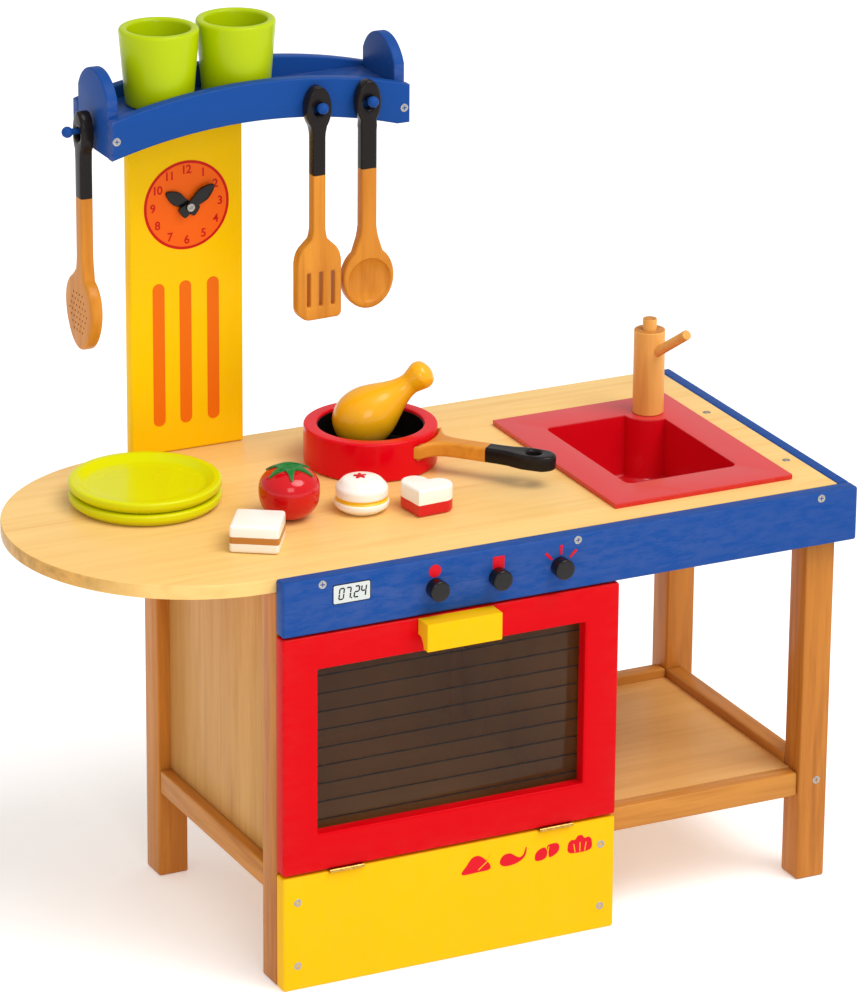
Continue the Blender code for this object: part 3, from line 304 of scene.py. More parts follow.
def dippedWood(name, along, boundary, direction=None):  # oiled wood with its end dipped in black paint
    material, tree, shader = startMaterial(name, 0.06, 0.12)
    grain = groupNode(
        tree, woodGroup, placeNodes(tree, alongGrain[along]), Light=linear(226, 150, 52),
        Dark=linear(174, 98, 24), Contrast=0.7, Roughness=0.3
    )
    film = groupNode(
        tree, paintGroup, placeNodes(tree), Colour=linear(28, 23, 22), Cloud=0.3, Edge=0.03, Roughness=0.2
    )
    if direction:
        spot = addNode(tree, "TexCoord")
        along = addNode(tree, "VectorMath", operation="DOT_PRODUCT")
        along.inputs[1].default_value = direction
        tree.links.new(spot.outputs["Object"], along.inputs[0])
        dipped = ramp(tree, along.outputs["Value"], boundary - 0.0002, boundary + 0.0002)
    else:
        dipped = bandMask(tree, boundary, 2, wobble=0.0012)
    tree.links.new(
        blendColour(tree, dipped, grain.outputs["Colour"], film.outputs["Colour"]),
        shader.inputs["Base Color"]
    )
    rough = addNode(tree, "Mix", data_type="FLOAT")
    tree.links.new(dipped, rough.inputs[0])
    tree.links.new(grain.outputs["Roughness"], rough.inputs[2])
    tree.links.new(film.outputs["Roughness"], rough.inputs[3])
    tree.links.new(rough.outputs[0], shader.inputs["Roughness"])
    wireBump(tree, shader, grain.outputs["Height"], 0.15, 0.0003)
    return material


woods = {
    "worktop": woodMaterial("beechVeneer", (246, 203, 126), (224, 168, 86), "X", 0.5, 0.32, 0.15),
    "shelf": woodMaterial("beechBoard", (232, 180, 106), (200, 138, 66), "X", 0.55, 0.36, 0.2),
    "panelY": woodMaterial("plywoodPanel", (208, 156, 88), (172, 116, 54), "Z", 0.6, 0.42, 0.1),
    "legZ": woodMaterial("rubberwoodUpright", (206, 133, 50), (148, 78, 22), "Z", 0.75, 0.38, 0.2),
    "railX": woodMaterial("rubberwoodLong", (212, 145, 62), (158, 92, 32), "X", 0.75, 0.38, 0.2),
    "railY": woodMaterial("rubberwoodDeep", (206, 137, 58), (152, 86, 28), "Y", 0.75, 0.38, 0.2),
    "tap": woodMaterial("oiledBeechTap", (238, 176, 92), (212, 138, 60), "Z", 0.6, 0.42, 0.05),
}
paints = {
    "blue": paintMaterial("blueEnamel", (26, 72, 144), 0.34, 0.0, 0.02, 0.06, "X", 0.05),
    "red": paintMaterial("redEnamel", (208, 0, 12), 0.34, 0.03, 0.04, 0.04, "X", 0.05),
    "yellow": paintMaterial("yellowEnamel", (242, 184, 0), 0.34, 0.03, 0.04, 0.05, "Z", 0.05),
    # painted light: the plinth's yellow enamel made brighter for the clock board, standing in for the light
    # that falls on it
    "boardYellowPaintedLight": paintMaterial("yellowEnamelPaintedLight", (255, 204, 0), 0.34, 0.03, 0.04, 0.05, "Z", 0.05),
    "green": paintMaterial("limeGloss", (178, 198, 2), 0.22, 0.12, 0.05, 0.06, "Z", 0.1),
    "plateGreen": paintMaterial("yellowGreenGloss", (216, 216, 4), 0.22, 0.15, 0.05, 0.06, "Z", 0.1),
    "panRed": paintMaterial("redGloss", (222, 0, 22), 0.2, 0.16, 0.05, 0.06, "Z", 0.1),
    "black": paintMaterial("blackGloss", (22, 17, 16), 0.22, 0.2, 0.3, 0.02),
    "tomato": paintMaterial("tomatoGloss", (206, 0, 16), 0.16, 0.5, 0.08, 0.02),
    "golden": paintMaterial("roastGloss", (248, 176, 20), 0.22, 0.35, 0.12, 0.04),
    "leaf": paintMaterial("leafGreen", (8, 120, 48), 0.4, 0.15, 0.2, 0.08),
    "print": paintMaterial("redPrint", (214, 0, 26), 0.45, 0.0, 0.08, 0.0),
    "orange": paintMaterial("orangePrint", (240, 112, 0), 0.45, 0.0, 0.06, 0.0),
    "disc": paintMaterial("clockDiscPrint", (252, 104, 6), 0.45, 0.0, 0.04, 0.0),
    "clockRed": paintMaterial("clockRedPrint", (206, 12, 4), 0.45, 0.0, 0.06, 0.0),
    "ink": paintMaterial("blackPrint", (20, 16, 14), 0.45, 0.0, 0.15, 0.0),
    "screen": paintMaterial("greyScreen", (206, 210, 206), 0.3, 0.3, 0.05, 0.0),
}
print("materials ready")


# modelling helpers ----------------------------------------------

def deselectAll():
    if bpy.context.object and bpy.context.object.mode != "OBJECT":
        bpy.ops.object.mode_set(mode="OBJECT")
    bpy.ops.object.select_all(action="DESELECT")


def makeActive(piece):
    deselectAll()
    piece.select_set(True)
    bpy.context.view_layer.objects.active = piece


def applyModifier(piece, kind, **values):
    makeActive(piece)
    modifier = piece.modifiers.new(kind.title(), kind)
    for label, value in values.items():
        setattr(modifier, label, value)
    bpy.ops.object.modifier_apply(modifier=modifier.name)


def placePiece(piece, matrix):
    makeActive(piece)
    piece.matrix_world = matrix @ piece.matrix_world
    bpy.ops.object.transform_apply(location=True, rotation=True, scale=True)
    return piece


def cleanMesh(piece, within=0.00001):
    makeActive(piece)
    bpy.ops.object.mode_set(mode="EDIT")
    bpy.ops.mesh.select_all(action="SELECT")
    bpy.ops.mesh.remove_doubles(threshold=within)
    bpy.ops.mesh.normals_make_consistent(inside=False)
    bpy.ops.object.mode_set(mode="OBJECT")


def finishPiece(piece, name, body, material, replaced=(), smooth=35):
    makeActive(piece)
    piece.name = name
    piece.data.name = name
    if smooth:
        bpy.ops.object.shade_smooth_by_angle(angle=math.radians(smooth))
    piece.data.materials.clear()
    piece.data.materials.append(material)
    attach(piece, body)
    if replaced:
        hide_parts(*replaced)
    return piece


def softProfile(corners, steps=5):  # (radius, height, rounding) corners to a smooth turned profile
    points = [tuple(corners[0][:2])]
    for before, corner, after in zip(corners, corners[1:], corners[2:]):
        here = Vector(corner[:2])
        back, ahead = (Vector(before[:2]) - here), (Vector(after[:2]) - here)
        bend = back.angle(ahead, math.pi)
        if corner[2] <= 0 or bend > math.pi - 0.02:
            points.append(tuple(here))
            continue
        reach = min(corner[2] / math.tan(bend / 2), back.length * 0.49, ahead.length * 0.49)
        start, end = here + back.normalized() * reach, here + ahead.normalized() * reach
        for step in range(steps + 1):
            t = step / steps
            points.append(tuple(start * (1 - t) ** 2 + here * 2 * t * (1 - t) + end * t**2))
    points.append(tuple(corners[-1][:2]))
    return points


def turnedPiece(profile, sides=64):  # profile from the bottom's middle round to the top's, radius first
    deselectAll()
    radius, height = profile[0]
    bpy.ops.mesh.primitive_circle_add(
        vertices=sides, radius=max(radius, 0.0002), fill_type="NGON", location=(0, 0, height)
    )
    piece = bpy.context.object
    bpy.ops.object.mode_set(mode="EDIT")
    bpy.ops.mesh.select_all(action="SELECT")
    radius = max(radius, 0.0002)
    for nextRadius, nextHeight in profile[1:]:
        nextRadius = max(nextRadius, 0.0002)
        bpy.ops.mesh.extrude_region_move(TRANSFORM_OT_translate={"value": (0, 0, nextHeight - height)})
        factor = nextRadius / radius
        bpy.ops.transform.resize(value=(factor, factor, 1), center_override=(0, 0, nextHeight))
        radius, height = nextRadius, nextHeight
    bpy.ops.object.mode_set(mode="OBJECT")
    bpy.ops.object.transform_apply(location=True, rotation=True, scale=True)
    cleanMesh(piece, 0.000002)
    return piece


def arcLine(middle, radii, first, last, steps):
    wide, high = radii if isinstance(radii, tuple) else (radii, radii)
    angles = [math.radians(first + (last - first) * step / steps) for step in range(steps + 1)]
    return [(middle[0] + wide * math.cos(angle), middle[1] + high * math.sin(angle)) for angle in angles]


def smoothLine(points, steps=6):  # a closed Catmull-Rom line through the points
    line = []
    count = len(points)
    for index in range(count):
        a, b, c, d = (Vector(points[(index + offset) % count]) for offset in (-1, 0, 1, 2))
        for step in range(steps):
            t = step / steps
            line.append(
                tuple(
                    0.5
                    * (
                        2 * b + (c - a) * t + (2 * a - 5 * b + 4 * c - d) * t**2
                        + (3 * b - a - 3 * c + d) * t**3
                    )
                )
            )
    return line


# a flat shape in XY, its middle at zero, with rounded edges
def cutShape(outlines, thick, edge=0.0, rounds=3):
    deselectAll()
    curve = bpy.data.curves.new("outline", "CURVE")
    curve.dimensions = "2D"
    curve.fill_mode = "BOTH"
    curve.extrude = thick / 2 - edge
    curve.bevel_depth = edge
    curve.bevel_resolution = rounds
    curve.offset = -edge
    for outline in outlines:
        spline = curve.splines.new("POLY")
        spline.points.add(len(outline) - 1)
        for point, (u, v) in zip(spline.points, outline):
            point.co = (u, v, 0, 1)
        spline.use_cyclic_u = True
    piece = bpy.data.objects.new("outline", curve)
    bpy.context.scene.collection.objects.link(piece)
    makeActive(piece)
    bpy.ops.object.convert(target="MESH")
    piece = bpy.context.object
    cleanMesh(piece)
    return piece


def roundBoard(low, high, edge=0.0018, segments=3):
    deselectAll()
    bpy.ops.mesh.primitive_cube_add(size=1, location=(low + high) / 2)
    board = bpy.context.object
    board.scale = high - low
    bpy.ops.object.transform_apply(location=True, rotation=True, scale=True)
    if edge:
        applyModifier(
            board, "BEVEL", width=edge, segments=segments, limit_method="ANGLE", harden_normals=False
        )
    return board


def cutWith(piece, tool, operation="DIFFERENCE"):
    applyModifier(piece, "BOOLEAN", object=tool, operation=operation, solver="EXACT")
    bpy.data.objects.remove(tool, do_unlink=True)


def joinPieces(parts):
    deselectAll()
    for part in parts:
        part.select_set(True)
    bpy.context.view_layer.objects.active = parts[0]
    bpy.ops.object.join()
    return bpy.context.object


def boxOutline(low, high):
    return [(low[0], low[1]), (high[0], low[1]), (high[0], high[1]), (low[0], high[1])]


def roundedBox(low, high, radius, steps=5):
    points = []
    for corner, (dx, dy), start in (((high[0], low[1]), (-1, 1), -90), ((high[0], high[1]), (-1, -1), 0),
                                    ((low[0], high[1]), (1, -1), 90), ((low[0], low[1]), (1, 1), 180)):
        points += arcLine(
            (corner[0] + dx * radius, corner[1] + dy * radius), radius, start, start + 90, steps
        )
    return points


# boards ----------------------------------------------------------

boards = {
    "edge": 0.0022,
    "uprights": [
        "front_left_leg", "front_middle_leg", "front_right_leg", "back_left_leg", "back_middle_leg",
        "back_right_leg"
    ],
    "longRails": ["shelf_front_rail", "shelf_back_rail", "rear_apron"],
    "deepRails": ["left_rail", "shelf_side_rail"],
    "panels": ["oven_left_panel", "oven_right_panel", "oven_back_panel"],
    "blue": ["front_fascia", "worktop_side_rail"],
}


def replaceBoard(node, body, material, edge, segments=3):
    low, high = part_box(node)
    board = roundBoard(low, high, edge, segments)
    return finishPiece(board, node + "_finish", body, material, [node])


for node in boards["uprights"]:
    replaceBoard(node, "cabinet", woods["legZ"], boards["edge"])
for node in boards["longRails"]:
    replaceBoard(node, "cabinet", woods["railX"], boards["edge"])
for node in boards["deepRails"]:
    replaceBoard(node, "cabinet", woods["railY"], boards["edge"])
for node in boards["panels"]:
    replaceBoard(node, "cabinet", woods["panelY"], 0.0006, 2)
replaceBoard("worktop_side_rail", "cabinet", paints["blue"], 0.0028, 4)
replaceBoard("plinth", "cabinet", paints["yellow"], 0.0026, 4)
replaceBoard("shelf_floor", "cabinet", paints["blue"], 0.0006, 2)
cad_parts["bottom_board"].data.materials.clear()
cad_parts["bottom_board"].data.materials.append(woods["shelf"])

# the fascia keeps its three bores for the knob stems
low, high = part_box("front_fascia")
fascia = roundBoard(low, high, 0.0028, 4)
for knob in ("left_knob", "middle_knob", "right_knob"):
    knobLow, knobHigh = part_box(knob)
    middle = (knobLow + knobHigh) / 2
    deselectAll()
    bpy.ops.mesh.primitive_cylinder_add(
        vertices=32, radius=0.0043, depth=0.06, location=(middle.x, front, middle.z),
        rotation=(math.pi / 2, 0, 0)
    )
    cutWith(fascia, bpy.context.object)
finishPiece(fascia, "front_fascia_finish", "cabinet", paints["blue"], ["front_fascia"])

# worktop: half round at the left, cut out under the sink
worktop = {"edge": 0.0014, "bowlMargin": 0.0325, "frontMargin": 0.0405, "bowlWide": 0.140, "bowlDeep": 0.196}
low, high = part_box("worktop")
sinkLow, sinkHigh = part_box("sink")
radius = (high.y - low.y) / 2
outline = arcLine((low.x + radius, low.y + radius), radius, 90, 270, 72) + [(high.x, low.y), (high.x, high.y)]
holeLow = (sinkLow.x + worktop["bowlMargin"], sinkLow.y + worktop["frontMargin"])
hole = roundedBox(holeLow, (holeLow[0] + worktop["bowlWide"], holeLow[1] + worktop["bowlDeep"]), 0.004)
board = cutShape([outline, hole], high.z - low.z, worktop["edge"])
placePiece(board, Matrix.Translation((0, 0, (low.z + high.z) / 2)))
finishPiece(board, "worktop_finish", "cabinet", woods["worktop"], ["worktop"])
print("boards done")

# door ------------------------------------------------------------

door = {"edge": 0.0026, "stile": 0.038, "bottomRail": 0.040, "window": 0.177, "lines": 9, "lineHigh": 0.0014}
low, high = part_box("door_frame")
windowLow = (low.x + door["stile"], low.z + door["bottomRail"])
windowHigh = (high.x - door["stile"], windowLow[1] + door["window"])
panel = cutShape(
    [boxOutline((low.x, low.z), (high.x, high.z)), boxOutline(windowLow, windowHigh)], high.y - low.y, 0
)
placePiece(panel, Matrix.Translation((0, (low.y + high.y) / 2, 0)) @ facingFront)
applyModifier(panel, "BEVEL", width=door["edge"], segments=4, limit_method="ANGLE")
paneLow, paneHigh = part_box("door_window")
rebate = roundBoard(paneLow - Vector((0.0003, 0.0003, 0.0003)), paneHigh + Vector((0.0003, 0.01, 0.0003)), 0)
cutWith(panel, rebate)
finishPiece(panel, "door_frame_finish", "door", paints["red"], ["door_frame"])

low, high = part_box("door_handle")
coveDeep, coveHigh = 0.009, 0.012
profile = [(low.y, low.z), (high.y - coveDeep - 0.003, low.z)] + arcLine(
    (high.y - 0.003, low.z), (coveDeep, coveHigh), 180, 90, 10
)
profile += [(high.y, low.z + coveHigh), (high.y, high.z), (low.y, high.z)]
handle = cutShape([profile], high.x - low.x)
placePiece(handle, Matrix.Translation(((low.x + high.x) / 2, 0, 0)) @ facingRight)
applyModifier(handle, "BEVEL", width=0.0024, segments=4, limit_method="ANGLE", angle_limit=math.radians(50))
finishPiece(handle, "door_handle_finish", "door", paints["yellow"], ["door_handle"])

# smoked window with thin printed lines, like the bars of a rack
pane, tree, shader = startMaterial("smokedAcrylic", 0.0, 0.35)
vector = placeNodes(tree, (1, 1, 1))
haze = ramp(tree, noise(tree, vector, 16, 3, 0.5), 0.3, 0.7)
tree.links.new(blendColour(tree, haze, linear(74, 46, 20), linear(60, 36, 14)), shader.inputs["Base Color"])
tree.links.new(math2(tree, "ADD", math2(tree, "MULTIPLY", haze, 0.05), 0.05), shader.inputs["Roughness"])
shader.inputs["Alpha"].default_value = 0.40
wireBump(tree, shader, haze, 0.05, 0.0004)
low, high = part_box("door_window")
glazing = roundBoard(low, high, 0.0004, 2)
finishPiece(glazing, "door_window_finish", "door", pane, ["door_window"])
bars = []
for index in range(door["lines"]):
    barZ = windowLow[1] + 0.0085 + index * (windowHigh[1] - windowLow[1] - 0.012) / (door["lines"] - 0.5)
    bars.append(
        roundBoard(
            Vector((windowLow[0], low.y - 0.0003, barZ)),
            Vector((windowHigh[0], low.y - 0.0001, barZ + door["lineHigh"])), 0
        )
    )
finishPiece(joinPieces(bars), "window_bars_print", "door", paints["ink"])
print("door done")

# fascia prints ---------------------------------------------------

def printMark(name, outlines, middle, material, body="cabinet", turn=facingFront, thick=0.0003):
    piece = cutShape(outlines, thick)
    placePiece(piece, Matrix.Translation(middle) @ turn)
    return finishPiece(piece, name, body, material, smooth=0)


fasciaPrints = {
    "display": (0.0535, 0.4095, 0.0948, 0.4303), "dot": (0.1653, 0.4272, 0.0067),
    "square": (0.2358, 0.4248, 0.013), "rays": (0.3052, 0.4070)
}
x0, z0, x1, z1 = fasciaPrints["display"]
ahead = front - 0.0002
printMark(
    "display_border", [roundedBox((left + x0, z0), (left + x1, z1), 0.0022)], (0, ahead, 0), paints["ink"],
)
rim = 0.0009
printMark(
    "display_screen", [roundedBox((left + x0 + rim, z0 + rim), (left + x1 - rim, z1 - rim), 0.0016)],
    (0, ahead - 0.0002, 0), paints["screen"]
)
segments = {"0": "abcdef", "2": "abged", "4": "fgbc", "7": "abc"}
bars = {
    "a": (0, 2, 1), "b": (1, 1, 0), "c": (1, 0, 0), "d": (0, 0, 1), "e": (0, 0, 0), "f": (0, 1, 0),
    "g": (0, 1, 1)
}
digitWide, digitHigh, stroke, pitch = 0.0048, 0.0112, 0.0014, 0.0074
digits = []
for index, figure in enumerate("0724"):
    startX = left + x0 + 0.0058 + index * pitch + (0.0018 if index > 1 else 0)
    for key in segments[figure]:
        across, level, lying = bars[key]
        lean = 0.12
        cornerZ = z0 + 0.0050 + level * digitHigh / 2
        cornerX = startX + across * digitWide + lean * (cornerZ - z0)
        if lying:
            digits.append(
                boxOutline(
                    (cornerX + 0.0004, cornerZ - stroke / 2),
                    (cornerX + digitWide - 0.0004, cornerZ + stroke / 2)
                )
            )
        else:
            topX = cornerX + lean * digitHigh / 2
            foot, top = cornerZ + 0.0004, cornerZ + digitHigh / 2 - 0.0004
            digits.append([
                (cornerX - stroke / 2, foot), (cornerX + stroke / 2, foot),
                (topX + stroke / 2, top), (topX - stroke / 2, top)
            ])
dotX = left + x0 + 0.0058 + 1.86 * pitch
digits.append(boxOutline((dotX, z0 + 0.0044), (dotX + 0.0013, z0 + 0.0057)))
for index, outline in enumerate(digits):
    digits[index] = cutShape([outline], 0.0002)
figures = joinPieces(digits)
placePiece(figures, Matrix.Translation((0, ahead - 0.0004, 0)) @ facingFront)
finishPiece(figures, "display_digits", "cabinet", paints["ink"], smooth=0)

x0, z0, size = fasciaPrints["dot"]
printMark(
    "knob_mark_dot", [arcLine((left + x0, z0), size, 0, 354, 59)], (0, ahead, 0), paints["print"]
)
x0, z0, size = fasciaPrints["square"]
printMark(
    "knob_mark_square",
    [roundedBox((left + x0 - size / 2, z0 - size / 2), (left + x0 + size / 2, z0 + size / 2), 0.0006)],
    (0, ahead, 0), paints["print"]
)
x0, z0 = fasciaPrints["rays"]
rays = []
for angle in (-42, 2, 46):
    spoke = Matrix.Rotation(math.radians(-angle), 2)
    rays.append([
        tuple(Vector((left + x0, z0)) + spoke @ Vector(corner))
        for corner in ((-0.0011, 0.0145), (0.0011, 0.0145), (0.0016, 0.0248), (-0.0016, 0.0248))
    ])
marks = joinPieces([cutShape([ray], 0.0003) for ray in rays])
placePiece(marks, Matrix.Translation((0, ahead, 0)) @ facingFront)
finishPiece(marks, "knob_mark_rays", "cabinet", paints["print"], smooth=0)

# plinth icons: a roast, a chilli, a sliced loaf and a muffin
icons = {
    "roast": (
        0.2150, 0.0993,
        [
            smoothLine([
                (-0.0135, -0.0065), (-0.009, 0.001), (-0.004, 0.007), (0.002, 0.0078), (0.008, 0.0035),
                (0.0125, -0.002), (0.012, -0.0062), (0.002, -0.0068)
            ])
        ]
    ),
    "chilli": (
        0.2555, 0.0985,
        [
            smoothLine([
                (-0.0115, -0.001), (-0.0085, 0.0042), (-0.002, 0.0052), (0.003, 0.002), (0.007, 0.0),
                (0.0105, 0.002), (0.0125, 0.0075), (0.0135, 0.0078), (0.0125, 0.0015), (0.009, -0.0025),
                (0.003, -0.005), (-0.004, -0.0058), (-0.0095, -0.0045)
            ])
        ]
    ),
    "loaf": (
        0.2950, 0.0974,
        [
            smoothLine([
                (0.0005, 0.0062), (0.006, 0.0075), (0.0105, 0.0065), (0.0118, 0.0022), (0.0095, -0.0018),
                (0.003, -0.0045), (0.0015, 0.0005)
            ]),
            smoothLine([
                (-0.0108, -0.0045), (-0.0105, 0.0008), (-0.007, 0.0042), (-0.002, 0.0052),
                (0.0004, 0.0012), (-0.0006, -0.0036), (-0.004, -0.0056), (-0.008, -0.0058)
            ])
        ]
    ),
    "muffin": (
        0.3330, 0.0995,
        [
            smoothLine([
                (-0.0092, -0.0062), (-0.0112, 0.0012), (-0.0085, 0.0052), (-0.0045, 0.0052),
                (-0.002, 0.0082), (0.002, 0.0082), (0.0045, 0.0052), (0.0085, 0.0056), (0.0112, 0.0015),
                (0.0092, -0.0062)
            ])
        ]
    ),
}
iconSize = 1.22
for name, (iconX, iconZ, outlines) in icons.items():
    shape = joinPieces([
        cutShape([[(left + iconX + u * iconSize, iconZ + v * iconSize) for u, v in outline]], 0.0003)
        for outline in outlines
    ])
    placePiece(shape, Matrix.Translation((0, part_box("plinth")[0].y - 0.0002, 0)) @ facingFront)
    finishPiece(shape, "plinth_icon_" + name, "cabinet", paints["print"], smooth=0)
lines = {
    "roast": [((0.0015, -0.0050), (0.0095, 0.0012)), ((0.0095, 0.0012), (0.0138, 0.0082))],
    "loaf": [((0.0002, -0.0042), (0.0018, 0.0056))],
    "muffin": [
        ((-0.0045, -0.0062), (-0.0058, 0.0015)), ((0.0, -0.0062), (0.0, 0.0022)),
        ((0.0045, -0.0062), (0.0058, 0.0015))
    ]
}
strokes = []
for name, pairs in lines.items():
    iconX, iconZ = icons[name][:2]
    for start, end in pairs:
        start, end = Vector(start) * iconSize, Vector(end) * iconSize
        side = (end - start).normalized().orthogonal() * 0.00045
        strokes.append(
            cutShape(
                [
                    [
                        (left + iconX + p.x, iconZ + p.y)
                        for p in (start + side, start - side, end - side, end + side)
                    ]
                ],
                0.0003
            )
        )
strokes = joinPieces(strokes)
placePiece(strokes, Matrix.Translation((0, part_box("plinth")[0].y - 0.0004, 0)) @ facingFront)
finishPiece(strokes, "plinth_icon_lines", "cabinet", paints["yellow"], smooth=0)
print("prints done")

# knobs, pegs and tap ---------------------------------------------

turnedParts = {
    "knobStem": (0.004, 0.010), "knobRound": 0.0020,
    "pegShaft": 0.0032, "pegBall": 0.0058,
}
for side in ("left", "middle", "right"):
    low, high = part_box(side + "_knob")
    stem, seat = turnedParts["knobStem"]
    wide, out = (high.x - low.x) / 2, front - low.y
    profile = [
        (0, -seat, 0), (stem, -seat, 0.0003), (stem, 0.0003, 0), (wide - 0.0003, 0.0003, 0.0006),
        (wide, out, turnedParts["knobRound"]), (0, out, 0)
    ]
    knob = turnedPiece(softProfile(profile), 56)
    placePiece(knob, Matrix.Translation(((low.x + high.x) / 2, front, (low.z + high.z) / 2)) @ facingFront)
    finishPiece(
        knob, side + "_knob_finish", side + "_knob_body", paints["black"], [side + "_knob"]
    )

for name, turn in (("turner_peg", facingFront), ("spoon_peg", facingFront), ("skimmer_peg", facingLeft)):
    low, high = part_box(name)
    middle = (low + high) / 2
    length = (high.y - low.y) if turn == facingFront else (high.x - low.x)
    ball = turnedParts["pegBall"]
    join = math.degrees(math.asin(turnedParts["pegShaft"] / ball))
    curve = [
        (ball * math.sin(math.radians(a)), length - ball - ball * math.cos(math.radians(a)))
        for a in [join + (180 - join) * k / 16 for k in range(17)]
    ]
    peg = turnedPiece([(0.0026, 0), (0.0032, 0.0006)] + curve, 40)
    seat = Vector((high.x, middle.y, middle.z))
    if turn == facingFront:
        seat = Vector((middle.x, high.y, middle.z))
    placePiece(peg, Matrix.Translation(seat) @ turn)
    finishPiece(peg, name + "_finish", "cabinet", paints["blue"], [name], 60)

low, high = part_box("tap_column")
tapX, tapY = (low.x + high.x) / 2, (low.y + high.y) / 2
tap = {
    "radius": (high.x - low.x) / 2, "bore": 0.0081, "dowel": 0.0075, "spout": 0.0053, "reach": 0.078,
    "from": 0.061, "slope": 33.5, "turn": 8
}
tall = high.z - low.z
column = turnedPiece(
    softProfile([
        (0, 0, 0), (tap["radius"], 0, 0.0012), (tap["radius"], tall, 0.0016), (tap["bore"], tall, 0.0005),
        (tap["bore"], tall - 0.003, 0), (0, tall - 0.003, 0)
    ]),
    72
)
placePiece(column, Matrix.Translation((tapX, tapY, low.z)))
finishPiece(column, "tap_column_finish", "tap", woods["tap"], ["tap_column"])
spout = turnedPiece(
    softProfile(
        [(0, 0.010, 0), (tap["spout"], 0.010, 0), (tap["spout"], tap["reach"], 0.0011), (0, tap["reach"], 0)]
    ),
    40
)
lean = Matrix.Rotation(math.radians(tap["turn"]), 4, "Z") @ Matrix.Rotation(
    math.radians(90 - tap["slope"]), 4, "X"
)
placePiece(spout, Matrix.Translation((tapX, tapY, low.z + tap["from"])) @ lean)
finishPiece(spout, "tap_spout_finish", "tap", woods["tap"], ["tap_spout"])
dowelLow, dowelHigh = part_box("tap_axle")
dowel = turnedPiece(
    softProfile([
        (0, 0, 0), (tap["dowel"], 0, 0.0006), (tap["dowel"], dowelHigh.z - dowelLow.z, 0.0012),
        (0, dowelHigh.z - dowelLow.z, 0)
    ]),
    48
)
placePiece(dowel, Matrix.Translation((tapX, tapY, dowelLow.z)))
finishPiece(dowel, "tap_axle_finish", "cabinet", woods["tap"], ["tap_axle"])

# sink ------------------------------------------------------------

sink = {
    "rimSide": 0.038, "rimFront": 0.046, "wide": 0.129, "long": 0.185, "deep": 0.070, "wall": 0.003,
    "rim": 0.0052, "bite": 0.0275, "corner": 0.009, "floorEdge": 0.0065
}


def sinkOutline(grow):
    x0, y0 = sinkLow.x + sink["rimSide"] - grow, sinkLow.y + sink["rimFront"] - grow
    x1, y1 = x0 + sink["wide"] + 2 * grow, y0 + sink["long"] + 2 * grow
    r, corner = sink["bite"] - grow, sink["corner"] + grow
    start = math.degrees(math.atan2(-math.sqrt(r**2 - (x1 - tapX) ** 2), x1 - tapX))
    end = math.degrees(math.atan2(y1 - tapY, -math.sqrt(r**2 - (y1 - tapY) ** 2)))
    points = arcLine(
        (x0 + corner, y0 + corner), corner, 180, 270, 8
    ) + arcLine((x1 - corner, y0 + corner), corner, 270, 360, 8)
    points += arcLine((tapX, tapY), r, start + 360, end + (360 if end < 0 else 0), 28)
    return points + arcLine((x0 + corner, y1 - corner), corner, 90, 180, 8)


rimTop = sinkHigh.z
bowlFloor = rimTop - sink["deep"]
rimPlate = roundBoard(Vector((sinkLow.x, sinkLow.y, rimTop - sink["rim"])), sinkHigh, 0)
outer = cutShape([sinkOutline(sink["wall"])], 0.080, sink["floorEdge"] + 0.002, 5)
placePiece(outer, Matrix.Translation((0, 0, sinkLow.z + 0.040)))
trim = roundBoard(
    Vector((sinkLow.x - 0.01, sinkLow.y - 0.01, rimTop - 0.001)),
    Vector((sinkHigh.x + 0.01, sinkHigh.y + 0.01, rimTop + 0.1)), 0
)
cutWith(outer, trim)
cutWith(rimPlate, outer, "UNION")
inner = cutShape([sinkOutline(0)], 0.100, sink["floorEdge"], 5)
placePiece(inner, Matrix.Translation((0, 0, bowlFloor + 0.050)))
cutWith(rimPlate, inner)
cleanMesh(rimPlate)
applyModifier(rimPlate, "BEVEL", width=0.0016, segments=4, limit_method="ANGLE", angle_limit=math.radians(50))
sinkLook, tree, shader = startMaterial("sinkPlastic", 0.25, 0.5)
film = groupNode(
    tree, paintGroup, placeNodes(tree), Colour=linear(212, 4, 22), Cloud=0.12, Edge=0.05, Roughness=0.2
)
onRim = bandMask(tree, rimTop - 0.0012, 2)
tree.links.new(
    blendColour(tree, onRim, film.outputs["Colour"], linear(214, 50, 52)), shader.inputs["Base Color"]
)
tree.links.new(
    math2(tree, "ADD", film.outputs["Roughness"], math2(tree, "MULTIPLY", onRim, 0.22)),
    shader.inputs["Roughness"]
)
wireBump(tree, shader, film.outputs["Height"], 0.08, 0.0003)
finishPiece(rimPlate, "sink_finish", "cabinet", sinkLook, ["sink"])
print("tap and sink done")

# top shelf -------------------------------------------------------

shelf = {"rise": 0.0225, "band": 0.040, "foot": 0.014, "edge": 0.0018, "crown": 0.025}


def archOutline(low, high, curvedBelow):
    def edge(first, last, base, forward):
        half, middle = (last - first) / 2, (first + last) / 2
        radius = (half**2 + shelf["rise"] ** 2) / (2 * shelf["rise"])
        angle = math.degrees(math.asin(half / radius))
        turn = (90 + angle, 90 - angle) if forward else (90 - angle, 90 + angle)
        return arcLine((middle, base + shelf["rise"] - radius), radius, *turn, 48)

    top = edge(low.x, high.x, low.z + shelf["band"], False)
    if not curvedBelow:
        return [(low.x, low.z), (high.x, low.z)] + top
    return edge(low.x, high.x - shelf["foot"], low.z, True) + [(high.x, low.z)] + top


